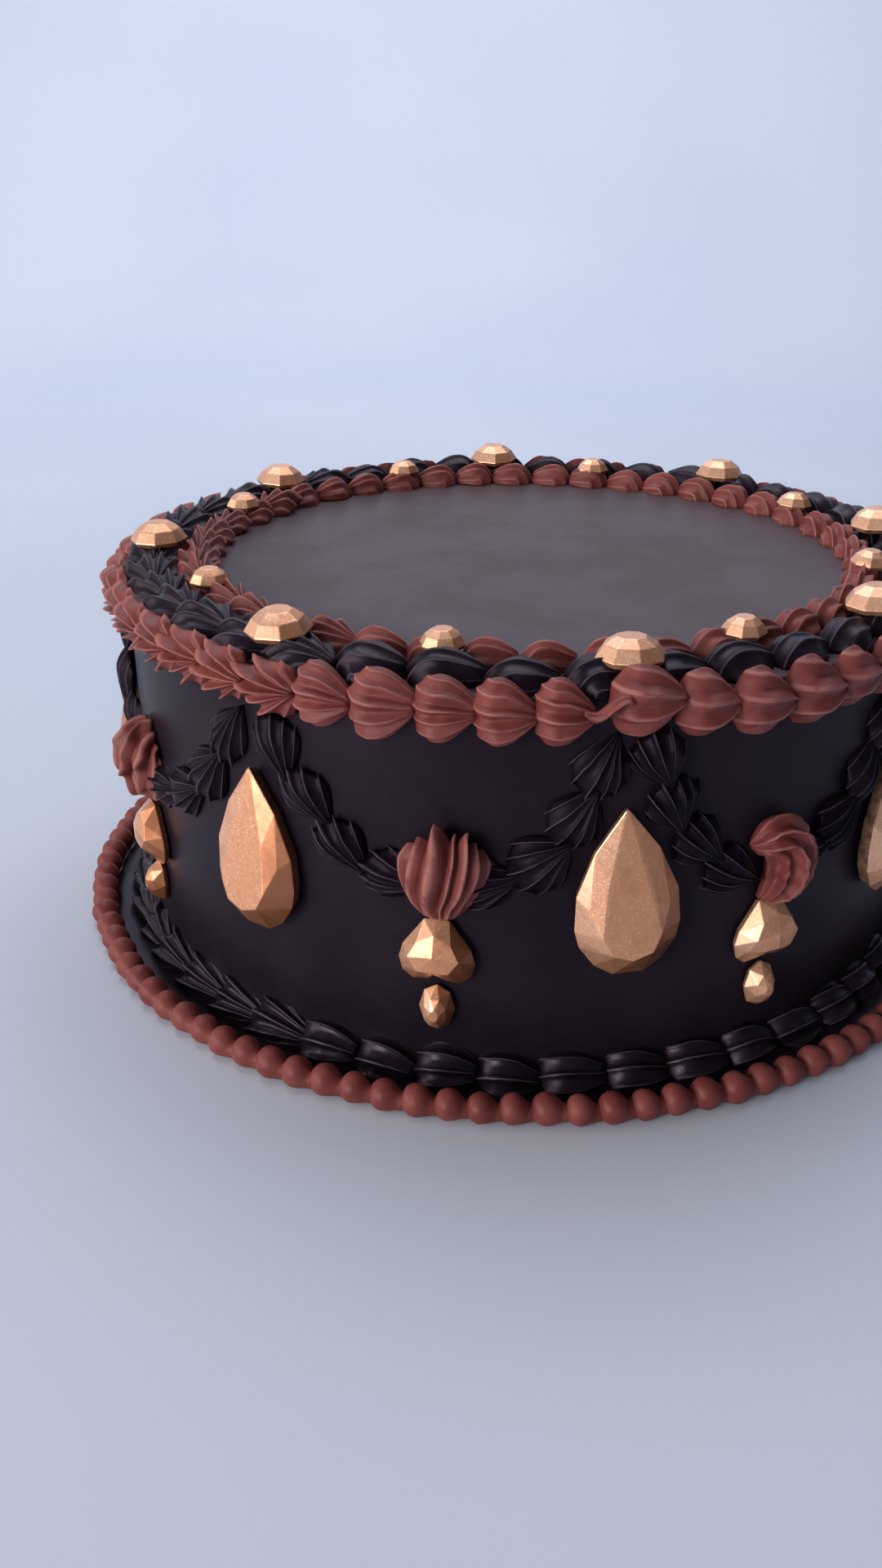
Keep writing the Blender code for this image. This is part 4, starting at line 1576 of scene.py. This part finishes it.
@dataclass
class Gems:
    """Forty cast chocolate gems, cut as the CAD nodes are, with softened facet edges."""

    material: bpy.types.Material
    kinds: tuple[GemKind, ...] = (
        GemKind("top_gems", "top_gem", False, 0.22 * MM),
        GemKind("small_top_gems", "small_top_gem", False, 0.16 * MM),
        GemKind("teardrop_gems", "teardrop_gem", True, 0.24 * MM),
        GemKind("heart_gems", "heart_gem", True, 0.22 * MM),
        GemKind("oval_gems", "oval_gem", True, 0.16 * MM),
    )
    # The dust share of each facet: a level, a painted-light reach by the way the facet faces, and a random
    # spread of real dust.
    dust_and_light_level: float = 0.44
    painted_light_reach: float = 0.62
    dust_spread: float = 0.22

    def cut(self, kind: GemKind, node: str) -> bpy.types.Mesh:
        """Takes the node's own shape, joins its flat facets and softens the edges.

        Args:
            kind: The kind of gem.
            node: The CAD node's name.

        Returns:
            The gem's mesh, with its bare attribute and its dust attribute, which carries painted light as
            well as dust.
        """
        work = bmesh.new()
        work.from_mesh(frame["nodes"][node].data)
        bmesh.ops.remove_doubles(work, verts=work.verts, dist=0.01 * MM)
        bmesh.ops.dissolve_limit(work, angle_limit=math.radians(1.0), verts=work.verts, edges=work.edges)
        angle = node_angle(node)
        outward = ring_point(angle, 1, 0) if kind.on_wall else UP
        # Painted light: the direction of the window's side; facets facing it get paler gold, facets facing
        # away get darker copper.
        painted_light_from = Vector((-0.9, -0.35, 0.3))
        if kind.on_wall:
            painted_light_from = Vector((-math.cos(angle), -math.sin(angle), 0.45))
        bare = work.faces.layers.float.new("bare")
        dust = work.faces.layers.float.new("dust")
        work.normal_update()
        for number, face in enumerate(work.faces):
            face[bare] = 1.0 if face.normal.dot(outward) < kind.bare_below else 0.0
            patch = self.dust_spread * (uneven(number, angle + 2) - 0.5)
            # The facing term is painted light; the patch is real unevenness of the dust.
            share = self.dust_and_light_level + self.painted_light_reach * face.normal.dot(painted_light_from) + patch
            face[dust] = min(1.0, max(0.0, share))
        bmesh.ops.bevel(work, geom=work.edges[:], offset=kind.bevel, segments=2, profile=0.6, affect="EDGES",
                        clamp_overlap=True)
        bmesh.ops.remove_doubles(work, verts=work.verts, dist=0.004 * MM)
        bmesh.ops.recalc_face_normals(work, faces=work.faces)
        mesh = bpy.data.meshes.new(node)
        work.to_mesh(mesh)
        work.free()
        return mesh

    def build(self) -> None:
        """Builds and dresses every kind, eight gems to a piece."""
        for kind in self.kinds:
            nodes = [f"{kind.node}_{i + 1}" for i in range(SECTORS)]
            work = bmesh.new()
            for node in nodes:
                mesh = self.cut(kind, node)
                work.from_mesh(mesh)
                bpy.data.meshes.remove(mesh)
            joined = bpy.data.meshes.new(kind.name)
            work.to_mesh(joined)
            work.free()
            joined.materials.append(self.material)
            settle(new_object(kind.name, joined), "gold_gem", nodes)


# The studio.


@dataclass(frozen=True)
class Panel:
    """One soft light panel, placed with the camera's own front as -Y, and its power in watts."""

    name: str
    place: tuple[float, float, float]
    aim: tuple[float, float, float]
    size: tuple[float, float]
    power: float
    colour: Colour


@dataclass
class Studio:
    """Pale seamless paper, soft window light from the left, and the camera."""

    panels: tuple[Panel, ...] = (
        Panel("window", (-0.95, -1.2, 0.4), (0, 0, 0.06), (0.8, 0.7), 15.5, (1.0, 0.95, 0.90)),
        Panel("side", (-1.5, -0.3, 0.5), (0, 0, 0.06), (1.2, 0.8), 9.0, (1.0, 0.90, 0.80)),
        Panel("ceiling", (-0.1, 0.7, 1.6), (0, 0, 0.06), (1.8, 1.2), 18.0, (0.95, 0.96, 1.0)),
        Panel("backdrop", (-0.3, 0.75, 1.2), (-0.3, 1.5, 0.5), (1.4, 0.4), 5.0, (0.93, 0.96, 1.0)),
    )
    camera_turn_deg: float = -8.9
    camera_radius: float = 349.9 * MM
    camera_height: float = 188.8 * MM
    pitch: float = -0.4401
    yaw: float = -0.0645
    lens: float = 30.98
    sky: Colour = (0.62, 0.65, 0.74)
    sky_strength: tuple[float, float] = (0.14, 0.42)

    @property
    def spin(self) -> Matrix:
        """The turn of the whole studio round the cake."""
        return Matrix.Rotation(math.radians(self.camera_turn_deg), 4, "Z")

    def build_paper(self) -> None:
        """Lays the floor and sweeps it up into a backdrop."""
        back, front, side, bend = 1.5, -3.0, 3.0, 0.7
        line = [(front, 0.0), (back - bend, 0.0)]
        for step in range(1, 17):
            angle = math.pi / 2 * step / 16
            line.append((back - bend + bend * math.sin(angle), bend * (1 - math.cos(angle))))
        line.append((back, 3.2))
        mesh = bpy.data.meshes.new("studio_paper")
        drop = -0.2 * MM
        points = [(x, y, z + drop) for y, z in line for x in (-side, side)]
        faces = [(2 * i, 2 * i + 1, 2 * i + 3, 2 * i + 2) for i in range(len(line) - 1)]
        mesh.from_pydata(points, [], faces)
        mesh.shade_smooth()
        mesh.materials.append(PaperFinish().material())
        paper = new_object("studio_paper", mesh)
        paper.data.transform(self.spin)
        paper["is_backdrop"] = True

    def build_light(self, panel: Panel) -> None:
        """Hangs one soft panel."""
        data = bpy.data.lights.new(panel.name, "AREA")
        data.shape, data.size, data.size_y = "RECTANGLE", *panel.size
        data.energy, data.color = panel.power, panel.colour
        place, aim = Vector(panel.place), Vector(panel.aim)
        turn = (aim - place).to_track_quat("-Z", "Y").to_matrix().to_4x4()
        new_object(panel.name, data).matrix_world = self.spin @ Matrix.Translation(place) @ turn

    def build_lights(self) -> None:
        """Hangs the panels, and lets the sky be palest where the window is."""
        for panel in self.panels:
            self.build_light(panel)
        world = bpy.data.worlds.new("sky")
        world.use_nodes = True
        back = world.node_tree.nodes["Background"]
        back.inputs["Color"].default_value = (*self.sky, 1.0)
        graph = Graph(world.node_tree)
        way = graph.add("ShaderNodeTexCoord").outputs["Generated"]
        left = self.spin.to_3x3() @ Vector((-1, 0, 0))
        share = graph.add("ShaderNodeVectorMath", {0: way, 1: left}, operation="DOT_PRODUCT").outputs["Value"]
        graph.feed(back.inputs["Strength"], graph.ramp(share, -1.0, 1.0, self.sky_strength))
        bpy.context.scene.world = world

    def build_camera(self) -> None:
        """Sets the camera at the photograph's viewing angle."""
        data = bpy.data.cameras.new("camera")
        data.sensor_fit, data.sensor_width, data.lens = "AUTO", 36.0, self.lens
        camera = new_object("camera", data)
        across = math.cos(self.pitch)
        look = Vector((math.sin(self.yaw) * across, math.cos(self.yaw) * across, math.sin(self.pitch)))
        place = Matrix.Translation((0, -self.camera_radius, self.camera_height))
        camera.matrix_world = self.spin @ place @ look.to_track_quat("-Z", "Y").to_matrix().to_4x4()
        bpy.context.scene.camera = camera

    def build(self) -> None:
        """Builds the paper, the lights and the camera."""
        self.build_paper()
        self.build_lights()
        self.build_camera()
        bpy.context.scene.view_settings.view_transform = "Standard"


def write_sizes() -> None:
    """Makes the CAD box and the visual model's box into plain lists of numbers; they are not written
    anywhere.
    """
    boxes = {"cad": CAD_BOX, "visual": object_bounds()}
    {name: [list(low), list(high)] for name, (low, high) in boxes.items()}


def main() -> None:
    """Builds every part of the scene in order."""
    logging.basicConfig(level=logging.INFO, format="%(name)s: %(message)s")
    shades = Shades.build()
    icings = {
        "milk_piping": MILK.material(shades), "dark_piping": DARK.material(shades),
        "foot_border": FOOT.material(shades),
    }
    piping = PipingTree()
    body = CakeBody()
    body.build(CoatFinish(), shades)
    borders = Borders(piping, icings, body)
    borders.build()
    Garland(piping, GARLAND.material(shades), body, borders).build()
    Rosettes(piping, icings["milk_piping"], body).build()
    Gems(LustreFinish().material()).build()
    Studio().build()
    write_sizes()


if __name__ == "__main__":
    main()
